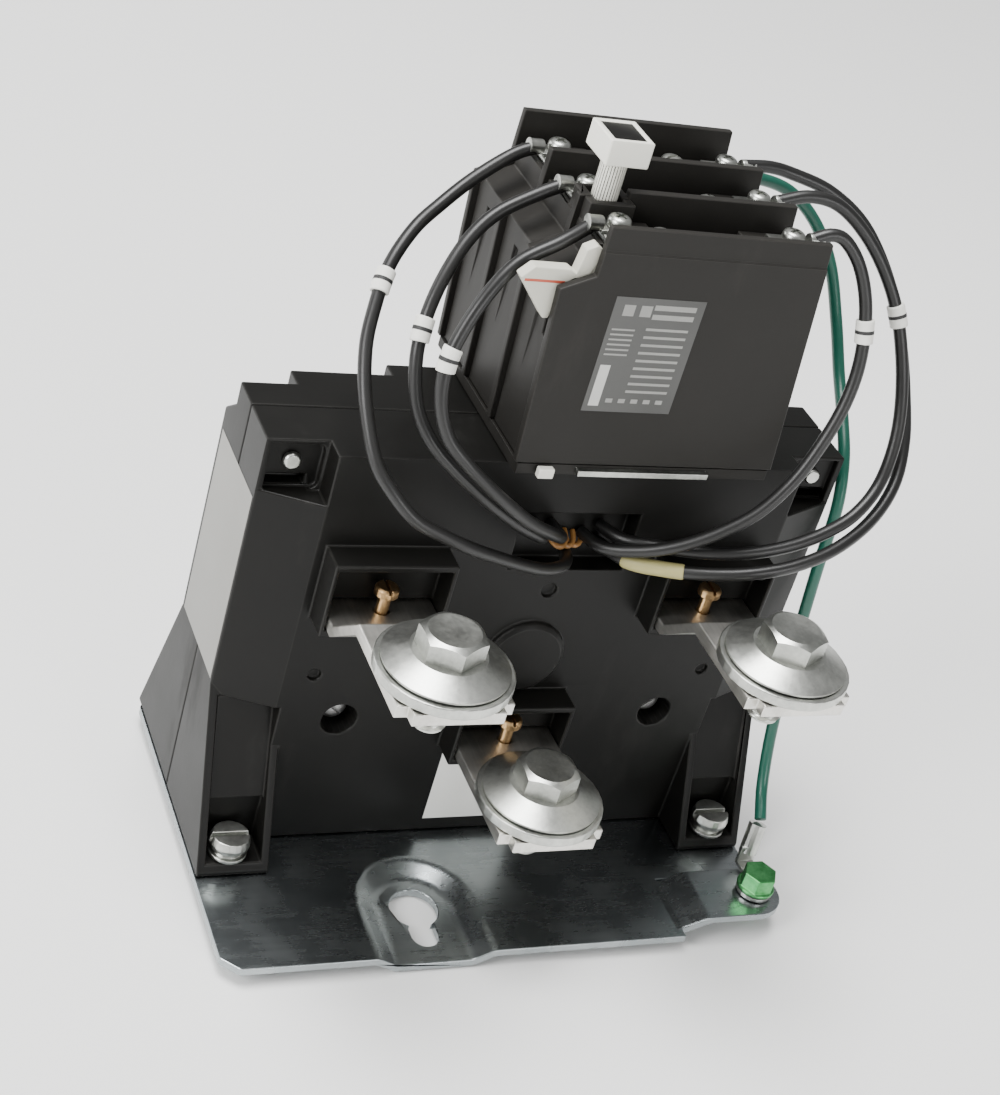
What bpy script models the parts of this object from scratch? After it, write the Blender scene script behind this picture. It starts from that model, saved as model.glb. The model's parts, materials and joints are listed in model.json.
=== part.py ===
"""Three-pole power contactor on its mounting plate, with a three-slab relay block on top.

It is the switching unit of an automatic transfer switch. Metres, +Z up out of the plate, load terminals
towards -Y, +X to the right. The origin is the middle of the plate's underside.
"""

import math

import bmesh
import bpy
from mathutils import Matrix, Vector

GAP = 0.0003  # clearance between pieces that touch
BIG = 0.3  # longer than any piece

# Mounting plate
PLATE_HALF_X = 0.0715
PLATE_FRONT_Y = 0.0603
PLATE_REAR_Y = 0.0335
TONGUE_HALF_X = 0.0480
TONGUE_Y = 0.0520
PLATE_THICK = 0.0020
PLATE_CORNER = 0.0040
PAD_DEPTH = 0.0025
PAD_INNER_R = 0.0094
PAD_OUTER_R = 0.0142
KEYHOLE_X = -0.0206
KEYHOLE_Y = -0.0428
KEYHOLE_R = 0.0060
KEYHOLE_SLOT_R = 0.0033
KEYHOLE_SLOT = 0.0090
REAR_PAD_X = 0.0300
TAB_START_X = 0.0440
TAB_RISE_X = 0.0515
TAB_LIFT = 0.0030
TAB_FRONT_Y = -0.0578
TAB_REAR_Y = -0.0417
TAB_END_X = 0.0735

# Housing
HALF_W = 0.0712
BODY_BOTTOM = PLATE_THICK + GAP
BODY_TOP = 0.1097
WALL = 0.0026
FACE_Y = -0.0133
FIELD_Y = -0.0195
FIELD_HALF = 0.0570
REAR_Y = 0.0155
REAR_TOP_Y = 0.0093
REAR_BULGE_Y = 0.0196
REAR_BULGE_HALF = 0.0345
FLARE_TOP = 0.0447
FLARE_Y = 0.0316
LEG_INNER_X = 0.0540
SHOULDER_Z = 0.0950
RECESS_BOTTOM = 0.0970
RECESS_TOP = 0.1086
RECESS_ROUND = 0.0022
BROW_X = [(-0.0900, -FIELD_HALF), (FIELD_HALF, 0.0900)]
LEG_NICHE_TOP = 0.0180
CAVITY_TOP = 0.1070
SEAM_GAP = 0.00015

# Poles
POLE_PITCH = 0.0404
HOOD_HALF = 0.0143
HOOD_Y = 0.0270
REAR_HOOD_Y = 0.0185
OPENING_HALF = 0.0133
STRAP_HALF = 0.0130
STRAP_THICK = 0.0030
STRAP_INNER_Y = 0.0050
OUTER_ROOT_TOP = 0.0730
OUTER_FLAT_TOP = 0.0833
OUTER_END_Y = 0.0715
OUTER_BOLT_Y = 0.0589
MIDDLE_TOP = 0.0346
MIDDLE_END_Y = 0.0590
MIDDLE_BOLT_Y = 0.0463
REAR_RISE = 0.0012
REAR_END_Y = 0.0490
REAR_BOLT_Y = 0.0375
SCREW_Y = 0.0240
NOTCH = 0.0028
TIP_R = 0.0034
TIP_H = 0.0012
TIP_Y = 0.0088
CONTACT_GAP = 0.0043

# Terminal hardware, M8
BOLT_R = 0.0040
BOLT_AF = 0.0130
BOLT_HEAD = 0.0053
CONE_R = 0.0138
CONE_TOP_R = 0.0080
CONE_EDGE = 0.0006
CONE = 0.0033
BOLT_LENGTH = 0.0160
WASHER_R = 0.0150
WASHER_THICK = 0.0025

# Screws
MOUNT_X = 0.0633
MOUNT_Y = 0.0270
COVER_X = 0.0644
COVER_Z = 0.1040

# Magnet, coil and carrier
CORE_HALF_Y = 0.0060
CORE_BOTTOM = 0.0546
CORE_BACK = 0.0064
CORE_TOP = 0.0860
CORE_HALF_X = 0.0252
CENTRE_LEG = 0.0060
OUTER_LEG = 0.0192
ARMATURE_BOTTOM = 0.0912
BEAM_BOTTOM = 0.0983
BEAM_TOP = 0.1035
CARRIER_HALF_Y = 0.0040
SPRING_X = 0.0545
SHELF_TOP = 0.0800
BEAM_ROOM = 0.0600

# Relay block
SLAB_FRONT_Y = -0.0245
SLAB_PITCH = 0.0175
SLAB_WALL = 0.0020
SLAB_BOTTOM = 0.1129
SLAB_TOP = 0.1695
SEAT_Z = 0.1630
WELL_Z = 0.1540
LEVER_X = -0.0170
LEVER_Z = 0.1550
KNOB_X = -0.0075
KNOB_Y = -0.0055
KNOB_HALF_X = 0.0050
KNOB_HALF_Y = 0.0055
KNOB_STEM_R = 0.0029
KNOB_HEAD_Z = 0.1765
KNOB_TOP_Z = 0.1823
KNOB_RECESS = 0.0005
COLLAR_TOP = 0.1680

# Leads
LEAD_R = 0.0015
GROUND_X = 0.0665
GROUND_Y = -0.0498

for old in list(bpy.data.objects):
    bpy.data.objects.remove(old, do_unlink=True)


def material(name, colour, roughness, metallic=0.0):
    made = bpy.data.materials.new(name)
    made.use_nodes = True
    shader = made.node_tree.nodes["Principled BSDF"]
    shader.inputs["Base Color"].default_value = (*colour, 1.0)
    shader.inputs["Roughness"].default_value = roughness
    shader.inputs["Metallic"].default_value = metallic
    return made


BLACK = material("black_moulding", (0.018, 0.018, 0.017), 0.45)
ZINC_SHEET = material("zinc_sheet", (0.30, 0.31, 0.31), 0.35, 1.0)
BRIGHT = material("bright_plating", (0.75, 0.75, 0.71), 0.25, 1.0)
BRASS = material("brass", (0.62, 0.42, 0.20), 0.35, 1.0)
STEEL = material("steel", (0.45, 0.45, 0.45), 0.40, 1.0)
COPPER = material("enamelled_copper", (0.45, 0.16, 0.06), 0.40, 0.6)
NYLON = material("tan_nylon", (0.55, 0.47, 0.33), 0.50)
WHITE = material("white_moulding", (0.80, 0.79, 0.74), 0.40)
BLACK_LEAD = material("black_insulation", (0.020, 0.020, 0.020), 0.40)
GREEN_LEAD = material("green_insulation", (0.01, 0.12, 0.08), 0.40)
GREEN = material("green_finish", (0.10, 0.42, 0.14), 0.40, 0.3)


def place(name, mesh, finish):
    """Makes the mesh an object, with its faces pointing outwards."""
    work = bmesh.new()
    work.from_mesh(mesh)
    bmesh.ops.recalc_face_normals(work, faces=work.faces)
    work.to_mesh(mesh)
    work.free()
    made = bpy.data.objects.new(name, mesh)
    made.data.materials.append(finish)
    bpy.context.scene.collection.objects.link(made)
    return made


def prism(outline, axis, low, high, name="block", finish=BLACK):
    """Extrudes an outline along an axis. Its points are (y, z) along X, (x, z) along Y, (x, y) along Z."""
    rings = []
    for level in (low, high):
        for a, b in outline:
            rings.append({"x": (level, a, b), "y": (a, level, b), "z": (a, b, level)}[axis])
    count = len(outline)
    faces = [tuple(range(count)), tuple(range(count, 2 * count))]
    for i in range(count):
        j = (i + 1) % count
        faces.append((i, j, count + j, count + i))
    mesh = bpy.data.meshes.new(name)
    mesh.from_pydata(rings, [], faces)
    return place(name, mesh, finish)


def box(x, y, z, name="block", finish=BLACK):
    """A block from its two limits along each axis."""
    corners = [(x[0], y[0]), (x[1], y[0]), (x[1], y[1]), (x[0], y[1])]
    return prism(corners, "z", z[0], z[1], name, finish)


def loft(outlines, name="block", finish=BLACK):
    """Joins outlines of the same number of points, each given as a list of (x, y, z)."""
    count = len(outlines[0])
    points = [p for outline in outlines for p in outline]
    faces = [tuple(range(count)), tuple(range(len(points) - count, len(points)))]
    for k in range(len(outlines) - 1):
        for i in range(count):
            j = (i + 1) % count
            a, b = k * count, (k + 1) * count
            faces.append((a + i, a + j, b + j, b + i))
    mesh = bpy.data.meshes.new(name)
    mesh.from_pydata(points, [], faces)
    return place(name, mesh, finish)


def turned(profile, centre, axis="z", name="block", finish=BLACK, segments=24):
    """Turns a profile of (radius, height) pairs about an axis through the centre."""
    outlines = []
    for radius, height in profile:
        ring = []
        for k in range(segments):
            angle = 2 * math.pi * k / segments
            a, b = radius * math.cos(angle), radius * math.sin(angle)
            offset = {"z": (a, b, height), "y": (a, height, b), "x": (height, a, b)}[axis]
            ring.append(tuple(c + o for c, o in zip(centre, offset)))
        outlines.append(ring)
    made = loft(outlines, name, finish)
    made.data.shade_smooth()
    made.data.set_sharp_from_angle(angle=math.radians(35))
    return made


def rod(centre, axis, radius, low, high, name="block", finish=BLACK, segments=20):
    """A cylinder between two heights along an axis through the centre."""
    return turned([(radius, low), (radius, high)], centre, axis, name, finish, segments)


def boolean(target, others, operation):
    """Joins the others to the target, or cuts them out of it, and removes them."""
    for other in others:
        step = target.modifiers.new("shape", "BOOLEAN")
        step.solver = "EXACT"
        step.operation = operation
        step.object = other
        shape = target.evaluated_get(bpy.context.evaluated_depsgraph_get())
        mesh = bpy.data.meshes.new_from_object(shape)
        target.modifiers.remove(step)
        target.data = mesh
        bpy.data.objects.remove(other, do_unlink=True)
    return target


def join(target, others):
    return boolean(target, others, "UNION")


def cut(target, others):
    return boolean(target, others, "DIFFERENCE")


def arc(centre, radius, start, end, steps):
    """Points on an arc between two angles in degrees."""
    points = []
    for k in range(steps + 1):
        angle = math.radians(start + (end - start) * k / steps)
        points.append((centre[0] + radius * math.cos(angle), centre[1] + radius * math.sin(angle)))
    return points


def pad_outline(x, radius, side, far_y, reach_y):
    """A U that opens over the plate's edge: side -1 is the front edge, +1 the rear edge."""
    start, end = (0, 180) if side < 0 else (360, 180)
    round_end = arc((x, far_y), radius, start, end, 12)
    return round_end + [(x - radius, reach_y), (x + radius, reach_y)]


def pad_solids(x, side, edge):
    """The metal under a pressed-down pad that runs to the plate's edge, and the hollow above it."""
    round_y = side * (edge - 0.0175)
    reach = side * (edge + 0.006)
    solids = []
    extra = 0.0005
    levels = [
        [(PAD_INNER_R + extra, -PAD_DEPTH), (PAD_OUTER_R + extra, 0.0), (PAD_OUTER_R + extra, 0.001)],
        [
            (PAD_INNER_R, PLATE_THICK - PAD_DEPTH),
            (PAD_OUTER_R, PLATE_THICK),
            (PAD_OUTER_R, PLATE_THICK + 0.004),
        ],
    ]
    for steps in levels:
        rings = []
        for radius, height in steps:
            outline = pad_outline(x, radius, side, round_y, reach)
            rings.append([(a, b, height) for a, b in outline])
        solids.append(loft(rings))
    return solids


def mounting_plate():
    """The pressed sheet, with three pads that touch the panel and the joggled ground tab."""
    hx, c, tongue = PLATE_HALF_X, PLATE_CORNER, TONGUE_HALF_X
    outline = [
        (-hx + c, -PLATE_FRONT_Y),
        (TAB_START_X, -PLATE_FRONT_Y),
        (TAB_START_X, TAB_REAR_Y + 0.0008),
        (hx - c, TAB_REAR_Y + 0.0008),
        (hx, TAB_REAR_Y + c),
        (hx, PLATE_REAR_Y - c),
        (hx - c, PLATE_REAR_Y),
        (tongue, PLATE_REAR_Y),
        (tongue, TONGUE_Y - c),
        (tongue - c, TONGUE_Y),
        (-tongue + c, TONGUE_Y),
        (-tongue, TONGUE_Y - c),
        (-tongue, PLATE_REAR_Y),
        (-hx + c, PLATE_REAR_Y),
        (-hx, PLATE_REAR_Y - c),
        (-hx, -PLATE_FRONT_Y + c),
    ]
    plate = prism(outline, "z", 0.0, PLATE_THICK, "mounting_plate", ZINC_SHEET)
    pads = [(KEYHOLE_X, -1, PLATE_FRONT_Y), (-REAR_PAD_X, 1, TONGUE_Y), (REAR_PAD_X, 1, TONGUE_Y)]
    hollows = []
    for x, side, edge in pads:
        metal, hollow = pad_solids(x, side, edge)
        join(plate, [metal])
        hollows.append(hollow)
    trims = [
        box((-BIG, BIG), (-BIG, -PLATE_FRONT_Y), (-BIG, BIG)),
        box((-BIG, BIG), (TONGUE_Y, BIG), (-BIG, BIG)),
    ]
    cut(plate, hollows + trims)
    ramp = [
        (TAB_START_X - 0.0020, 0.0),
        (TAB_START_X + 0.0005, 0.0),
        (TAB_RISE_X, TAB_LIFT),
        (TAB_RISE_X, TAB_LIFT + PLATE_THICK),
        (TAB_RISE_X - 0.0012, TAB_LIFT + PLATE_THICK),
        (TAB_START_X - 0.0007, PLATE_THICK),
        (TAB_START_X - 0.0020, PLATE_THICK),
    ]
    round_r = (TAB_REAR_Y - TAB_FRONT_Y) / 2
    middle_y = (TAB_REAR_Y + TAB_FRONT_Y) / 2
    flat = arc((TAB_END_X - round_r, middle_y), round_r, -90, 90, 10)
    flat += [(TAB_RISE_X - 0.0010, TAB_REAR_Y), (TAB_RISE_X - 0.0010, TAB_FRONT_Y)]
    tab = prism(flat, "z", TAB_LIFT, TAB_LIFT + PLATE_THICK)
    join(plate, [prism(ramp, "y", TAB_FRONT_Y, TAB_REAR_Y), tab])
    holes = [
        rod((KEYHOLE_X, KEYHOLE_Y, 0), "z", KEYHOLE_R, -0.01, 0.01, segments=28),
        rod((KEYHOLE_X, KEYHOLE_Y - KEYHOLE_SLOT, 0), "z", KEYHOLE_SLOT_R, -0.01, 0.01),
        box(
            (KEYHOLE_X - KEYHOLE_SLOT_R, KEYHOLE_X + KEYHOLE_SLOT_R),
            (KEYHOLE_Y - KEYHOLE_SLOT, KEYHOLE_Y),
            (-0.01, 0.01),
        ),
        rod((GROUND_X, GROUND_Y, 0), "z", 0.0022, -0.01, 0.01, segments=16),
    ]
    for x in (-MOUNT_X, MOUNT_X):
        for y in (-MOUNT_Y, MOUNT_Y):
            holes.append(rod((x, y, 0), "z", 0.0024, -0.01, 0.01, segments=16))
    for x in (-REAR_PAD_X, REAR_PAD_X):
        holes.append(rod((x, TONGUE_Y - 0.0120, 0), "z", KEYHOLE_SLOT_R, -0.01, 0.01))
    return cut(plate, holes)


def poles():
    """Each pole's name, centre, root top, flat top, bolt distance and end distance."""
    return [
        ("left", -POLE_PITCH, OUTER_ROOT_TOP, OUTER_FLAT_TOP, OUTER_BOLT_Y, OUTER_END_Y),
        ("middle", 0.0, MIDDLE_TOP, MIDDLE_TOP, MIDDLE_BOLT_Y, MIDDLE_END_Y),
        ("right", POLE_PITCH, OUTER_ROOT_TOP, OUTER_FLAT_TOP, OUTER_BOLT_Y, OUTER_END_Y),
    ]


def leg(x_sign, side):
    """A flared leg: side -1 stands in front, +1 behind."""
    start = 0.0050
    wall_y = abs(FACE_Y) if side < 0 else REAR_Y
    outline = [
        (side * start, BODY_BOTTOM),
        (side * FLARE_Y, BODY_BOTTOM),
        (side * FLARE_Y, BODY_BOTTOM + 0.0012),
        (side * wall_y, FLARE_TOP),
        (side * start, FLARE_TOP),
    ]
    low, high = sorted((x_sign * LEG_INNER_X, x_sign * HALF_W))
    return prism(outline, "x", low, high)


def leg_cuts(x_sign, side):
    """The screw pocket in a leg, open in front and above, and the hole in its foot."""
    low, high = sorted((x_sign * (LEG_INNER_X + 0.0020), x_sign * (HALF_W - 0.0020)))
    wall_y = abs(FACE_Y) if side < 0 else REAR_Y
    profile = [
        (side * (MOUNT_Y - 0.0053), BODY_BOTTOM + 0.0030),
        (side * (MOUNT_Y - 0.0053), LEG_NICHE_TOP),
        (side * (MOUNT_Y - 0.0040), LEG_NICHE_TOP + 0.0004),
        (side * (wall_y + 0.0012), FLARE_TOP - 0.0030),
        (side * (FLARE_Y + 0.0100), FLARE_TOP - 0.0030),
        (side * (FLARE_Y + 0.0100), BODY_BOTTOM + 0.0030),
    ]
    pocket = prism(profile, "x", low, high)
    hole = rod((x_sign * MOUNT_X, side * MOUNT_Y, 0), "z", 0.0024, 0.0, 0.02, segments=16)
    return [pocket, hole]


def hood_height(root_top):
    """The opening's and the hood's lowest and highest levels for a strap."""
    floor = root_top - STRAP_THICK - GAP
    roof = 0.0853 if root_top == OUTER_ROOT_TOP else 0.0446
    return floor, roof


def hoods(side, wall_y, hood_y):
    """The raised frame round each opening."""
    made = []
    for _, x, root_top, _, _, _ in poles():
        floor, roof = hood_height(root_top)
        near, far = sorted((side * (wall_y - 0.0015), side * hood_y))
        made.append(box((x - HOOD_HALF, x + HOOD_HALF), (near, far), (floor - 0.0018, roof + 0.0016)))
    return made


def opening_cuts(side, wall_y):
    """The recess in each hood, and the slot through the wall that the strap passes."""
    made = []
    for _, x, root_top, _, _, _ in poles():
        floor, roof = hood_height(root_top)
        limits = (x - OPENING_HALF, x + OPENING_HALF)
        near, far = sorted((side * (wall_y + 0.0008), side * (HOOD_Y + 0.005)))
        made.append(box(limits, (near, far), (floor, roof)))
        near, far = sorted((side * (wall_y - 0.0080), side * (wall_y + 0.0010)))
        made.append(box(limits, (near, far), (floor, root_top + GAP)))
    return made


def front_housing():
    """The front half shell: side walls, raised field, hoods, legs, pockets and the cable window."""
    seam = -SEAM_GAP
    section = [
        (-HALF_W, seam),
        (-HALF_W, FACE_Y),
        (-FIELD_HALF, FIELD_Y),
        (FIELD_HALF, FIELD_Y),
        (HALF_W, FACE_Y),
        (HALF_W, seam),
    ]
    shell = prism(section, "z", BODY_BOTTOM, BODY_TOP, "front_housing", BLACK)
    brows = [box((low, high), (-0.03, FACE_Y), (RECESS_BOTTOM, 0.2)) for low, high in BROW_X]
    cut(shell, brows)
    join(shell, [leg(-1, -1), leg(1, -1)])
    join(shell, hoods(-1, -FIELD_Y, HOOD_Y))
    disc = turned([(0.0100, -0.0010), (0.0100, 0.0012), (0.0088, 0.0020)], (0, FIELD_Y, 0.0565), "y")
    disc.data.transform(Matrix.Translation((0, 2 * FIELD_Y, 0)) @ Matrix.Diagonal((1, -1, 1, 1)))
    disc.data.flip_normals()
    join(shell, [disc])

    inner_x = HALF_W - WALL
    cavity = box((-inner_x, inner_x), (FACE_Y + WALL, 0.01), (BODY_BOTTOM + WALL, SHOULDER_Z - 0.002))
    half = FIELD_HALF - WALL
    deep = box((-half, half), (FIELD_Y + WALL, 0.01), (BODY_BOTTOM + WALL, CAVITY_TOP))
    cut(shell, [cavity, deep, box((-BEAM_ROOM, BEAM_ROOM), (-0.0062, 0.01), (0.0900, CAVITY_TOP))])

    bosses = [box((-0.0130, 0.0210), (FIELD_Y + 0.0010, -0.0126), (0.0785, 0.0990))]
    for x in (-0.0410, 0.0410):
        bosses.append(rod((x, 0, 0.0380), "y", 0.0062, FIELD_Y + 0.001, seam - 0.0002, segments=16))
    for sign in (-1, 1):
        low, high = sorted((sign * (SPRING_X - 0.0045), sign * (SPRING_X + 0.0045)))
        bosses.append(box((low, high), (FACE_Y, 0.0040), (SHELF_TOP - 0.003, SHELF_TOP)))
        low, high = sorted((sign * 0.0200, sign * 0.0228))
        bosses.append(box((low, high), (FIELD_Y + 0.001, -CORE_HALF_Y - GAP), (0.0560, 0.0850)))
    join(shell, bosses)

    cuts = opening_cuts(-1, -FIELD_Y)
    for sign in (-1, 1):
        cuts += leg_cuts(sign, -1)
        outer, inner = sign * (HALF_W - 0.0014), sign * (FIELD_HALF + 0.0006)
        pocket = [(outer, RECESS_TOP), (outer, RECESS_BOTTOM)]
        turn = -90 if sign < 0 else 270
        corner = inner + sign * RECESS_ROUND
        bottom = arc((corner, RECESS_BOTTOM + RECESS_ROUND), RECESS_ROUND, turn, turn + 90 * -sign, 4)
        top = arc((corner, RECESS_TOP - RECESS_ROUND), RECESS_ROUND, turn + 90 * -sign, turn + 180 * -sign, 4)
        cuts.append(prism(pocket + bottom + top, "y", -0.03, FACE_Y + 0.0016))
        low, high = sorted((outer, corner + sign * 0.0006))
        cuts.append(box((low, high), (-0.03, FACE_Y + 0.0048), (0.0976, 0.1000)))
        cuts.append(rod((sign * COVER_X, 0, COVER_Z), "y", 0.0016, -0.02, 0.01, segments=12))
        cuts.append(rod((sign * 0.0410, 0, 0.0380), "y", 0.0043, -0.03, -0.0130))
        cuts.append(rod((sign * 0.0410, 0, 0.0380), "y", 0.0020, -0.03, 0.01, segments=12))
        cuts.append(rod((sign * 0.0498, 0, 0.0512), "y", 0.0016, -0.03, -0.0182, segments=12))
    cuts.append(rod((0.0016, 0, 0.0750), "y", 0.0020, -0.03, -0.0182, segments=12))
    cuts.append(box((-0.0105, 0.0185), (-0.03, -0.0142), (0.0810, 0.0965)))
    return cut(shell, cuts)


def rear_housing():
    """The rear half shell, whose back steps out towards the middle."""
    seam = SEAM_GAP
    profile = [
        (seam, BODY_BOTTOM),
        (REAR_Y, BODY_BOTTOM),
        (REAR_Y, 0.0994),
        (REAR_TOP_Y, 0.1040),
        (REAR_TOP_Y, BODY_TOP),
        (seam, BODY_TOP),
    ]
    shell = prism(profile, "x", -HALF_W, HALF_W, "rear_housing", BLACK)
    join(shell, [
        box((-0.0585, 0.0585), (0.001, 0.0150), (0.0900, BODY_TOP)),
        box((-REAR_BULGE_HALF, REAR_BULGE_HALF), (0.001, REAR_BULGE_Y), (BODY_BOTTOM, BODY_TOP)),
    ])
    join(shell, [leg(-1, 1), leg(1, 1)])
    join(shell, hoods(1, REAR_Y, REAR_HOOD_Y))

    inner_x = HALF_W - WALL
    cut(shell, [
        box((-inner_x, inner_x), (-0.01, REAR_Y - WALL), (BODY_BOTTOM + WALL, SHOULDER_Z - 0.002)),
        box((-0.0556, 0.0556), (-0.01, 0.0122), (0.0500, CAVITY_TOP)),
        box((-BEAM_ROOM, BEAM_ROOM), (-0.01, 0.0062), (0.0900, CAVITY_TOP)),
    ])
    ribs = []
    for sign in (-1, 1):
        low, high = sorted((sign * 0.0200, sign * 0.0228))
        ribs.append(box((low, high), (CORE_HALF_Y + GAP, REAR_BULGE_Y - 0.001), (0.0560, 0.0850)))
        bar = rod((sign * 0.0410, 0, 0.0380), "y", 0.0062, seam + 0.0002, REAR_Y - 0.001, segments=16)
        ribs.append(bar)
    join(shell, ribs)

    cuts = opening_cuts(1, REAR_Y)
    for sign in (-1, 1):
        cuts += leg_cuts(sign, 1)
        cuts.append(rod((sign * COVER_X, 0, COVER_Z), "y", 0.0016, -0.02, 0.0070, segments=12))
        cuts.append(rod((sign * 0.0410, 0, 0.0380), "y", 0.0020, -0.01, 0.0120, segments=12))
    return cut(shell, cuts)


def strap(name, x, root_top, flat_top, bend, bolt_y, end_y, side):
    """A plated bar from its contact tip inside, out through the hood and its bend, to the bolt."""
    top = [(STRAP_INNER_Y, root_top), (bend[0], root_top), (bend[1], flat_top), (end_y, flat_top)]
    profile = [(side * y, z) for y, z in top]
    profile += [(side * y, z - STRAP_THICK) for y, z in reversed(top)]
    bar = prism(profile, "x", x - STRAP_HALF, x + STRAP_HALF, name, BRIGHT)
    tip_y = side * TIP_Y
    join(bar, [rod((x, tip_y, 0), "z", TIP_R, root_top - 0.001, root_top + TIP_H, segments=14)])
    notches = []
    for sign in (-1, 1):
        edge = x + sign * STRAP_HALF
        near, far = sorted((side * (end_y - NOTCH), side * (end_y + 0.002)))
        low, high = sorted((edge - sign * NOTCH, edge + sign * 0.002))
        notches.append(box((low, high), (near, far), (0.0, 0.12)))
    notches.append(rod((x, side * bolt_y, 0), "z", BOLT_R + GAP, 0.0, 0.12))
    if side < 0:
        notches.append(rod((x, -SCREW_Y, 0), "z", 0.0018, 0.0, 0.12, segments=12))
    return cut(bar, notches)


def terminal_bolt(name, x, y, strap_top):
    """An M8 hexagon bolt with its captive conical washer."""
    seat = strap_top + WASHER_THICK + 2 * GAP
    profile = [
        (BOLT_R - 0.0009, seat - BOLT_LENGTH),
        (BOLT_R, seat - BOLT_LENGTH + 0.0009),
        (BOLT_R, seat),
        (CONE_R, seat),
        (CONE_R, seat + CONE_EDGE),
        (CONE_TOP_R, seat + CONE),
        (BOLT_R, seat + CONE),
        (BOLT_R, seat + CONE + 0.001),
    ]
    bolt = turned(profile, (x, y, 0), "z", name, BRIGHT)
    corner = BOLT_AF / math.sqrt(3)
    low = seat + CONE - 0.0003
    high = low + BOLT_HEAD
    head = rod((x, y, 0), "z", corner, low, high, segments=6)
    chamfer = turned(
        [(corner + 0.001, low - 0.001), (corner + 0.001, high - 0.0020), (corner - 0.0016, high + 0.0001)],
        (x, y, 0),
        segments=24,
    )
    boolean(head, [chamfer], "INTERSECT")
    return join(bolt, [head])


def washer(name, x, y, strap_top):
    """A wide flat washer."""
    low = strap_top + GAP
    ring = rod((x, y, 0), "z", WASHER_R, low, low + WASHER_THICK, name, BRIGHT, 32)
    return cut(ring, [rod((x, y, 0), "z", BOLT_R + GAP, 0.0, 0.12)])


def strap_screw(name, x, root_top):
    """The brass screw that stands in a front strap's root."""
    top = root_top + 0.0068
    profile = [
        (0.0015, root_top - 0.0026),
        (0.0015, top - 0.0022),
        (0.0028, top - 0.0022),
        (0.0028, top - 0.0006),
        (0.0022, top),
    ]
    screw = turned(profile, (x, -SCREW_Y, 0), "z", name, BRASS, 16)
    reach = (-SCREW_Y - 0.0040, -SCREW_Y + 0.0040)
    slot = box((x - 0.0004, x + 0.0004), reach, (top - 0.0009, top + 0.001))
    return cut(screw, [slot])


def slotted_screw(name, x, y):
    """A slotted mounting screw with its washers, down through a foot and the plate."""
    foot = BODY_BOTTOM + 0.0030
    profile = [
        (0.0019, 0.0003),
        (0.0019, foot + GAP),
        (0.0046, foot + GAP),
        (0.0046, foot + 0.0012),
        (0.0036, foot + 0.0012),
        (0.0036, foot + 0.0028),
        (0.0047, foot + 0.0028),
        (0.0049, foot + 0.0040),
        (0.0044, foot + 0.0058),
    ]
    screw = turned(profile, (x, y, 0), "z", name, BRIGHT, 20)
    slot = box((x - 0.006, x + 0.006), (y - 0.0006, y + 0.0006), (foot + 0.0042, foot + 0.008))
    return cut(screw, [slot])


def cover_screw(name, x):
    """A small pan-head screw that holds the two shells together at a top corner."""
    seat = FACE_Y + 0.0016
    profile = [
        (0.0016, seat - 0.0018),
        (0.0020, seat - 0.0012),
        (0.0020, seat - GAP),
        (0.0013, seat - GAP),
        (0.0013, 0.0060),
    ]
    return turned(profile, (x, 0, COVER_Z), "y", name, BRIGHT, 16)


def magnet_core():
    """The fixed E-shaped core, with its legs upwards."""
    back = CORE_BOTTOM + CORE_BACK
    outline = [
        (-CORE_HALF_X, CORE_BOTTOM),
        (CORE_HALF_X, CORE_BOTTOM),
        (CORE_HALF_X, CORE_TOP),
        (OUTER_LEG, CORE_TOP),
        (OUTER_LEG, back),
        (CENTRE_LEG, back),
        (CENTRE_LEG, CORE_TOP),
        (-CENTRE_LEG, CORE_TOP),
        (-CENTRE_LEG, back),
        (-OUTER_LEG, back),
        (-OUTER_LEG, CORE_TOP),
        (-CORE_HALF_X, CORE_TOP),
    ]
    return prism(outline, "y", -CORE_HALF_Y, CORE_HALF_Y, "magnet_core", STEEL)


def coil():
    """The bobbin on the centre leg, and the winding on the bobbin."""
    low, high = CORE_BOTTOM + CORE_BACK + 0.0010, CORE_TOP - 0.0020
    flange = 0.0012
    x, y = 0.0180, 0.0122
    tube_x, tube_y = CENTRE_LEG + 0.0014, CORE_HALF_Y + 0.0014
    bobbin = box((-tube_x, tube_x), (-tube_y, tube_y), (low, high), "coil_bobbin", NYLON)
    join(bobbin, [
        box((-x, x), (-y, y), (low, low + flange)),
        box((-x, x), (-y, y), (high - flange, high)),
    ])
    cut(bobbin, [box(
        (-CENTRE_LEG - 0.0004, CENTRE_LEG + 0.0004),
        (-CORE_HALF_Y - 0.0004, CORE_HALF_Y + 0.0004),
        (0.0, 0.2),
    )])
    corner = 0.0035
    outer_x, outer_y = x - 0.0010, y - 0.0008
    outline = []
    for cx, cy, start in ((1, 1, 0), (-1, 1, 90), (-1, -1, 180), (1, -1, 270)):
        centre = (cx * (outer_x - corner), cy * (outer_y - corner))
        outline += arc(centre, corner, start, start + 90, 4)
    winding = prism(outline, "z", low + flange + GAP, high - flange - GAP, "coil_winding", COPPER)
    cut(winding, [box((-tube_x - GAP, tube_x + GAP), (-tube_y - GAP, tube_y + GAP), (0.0, 0.2))])


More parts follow.
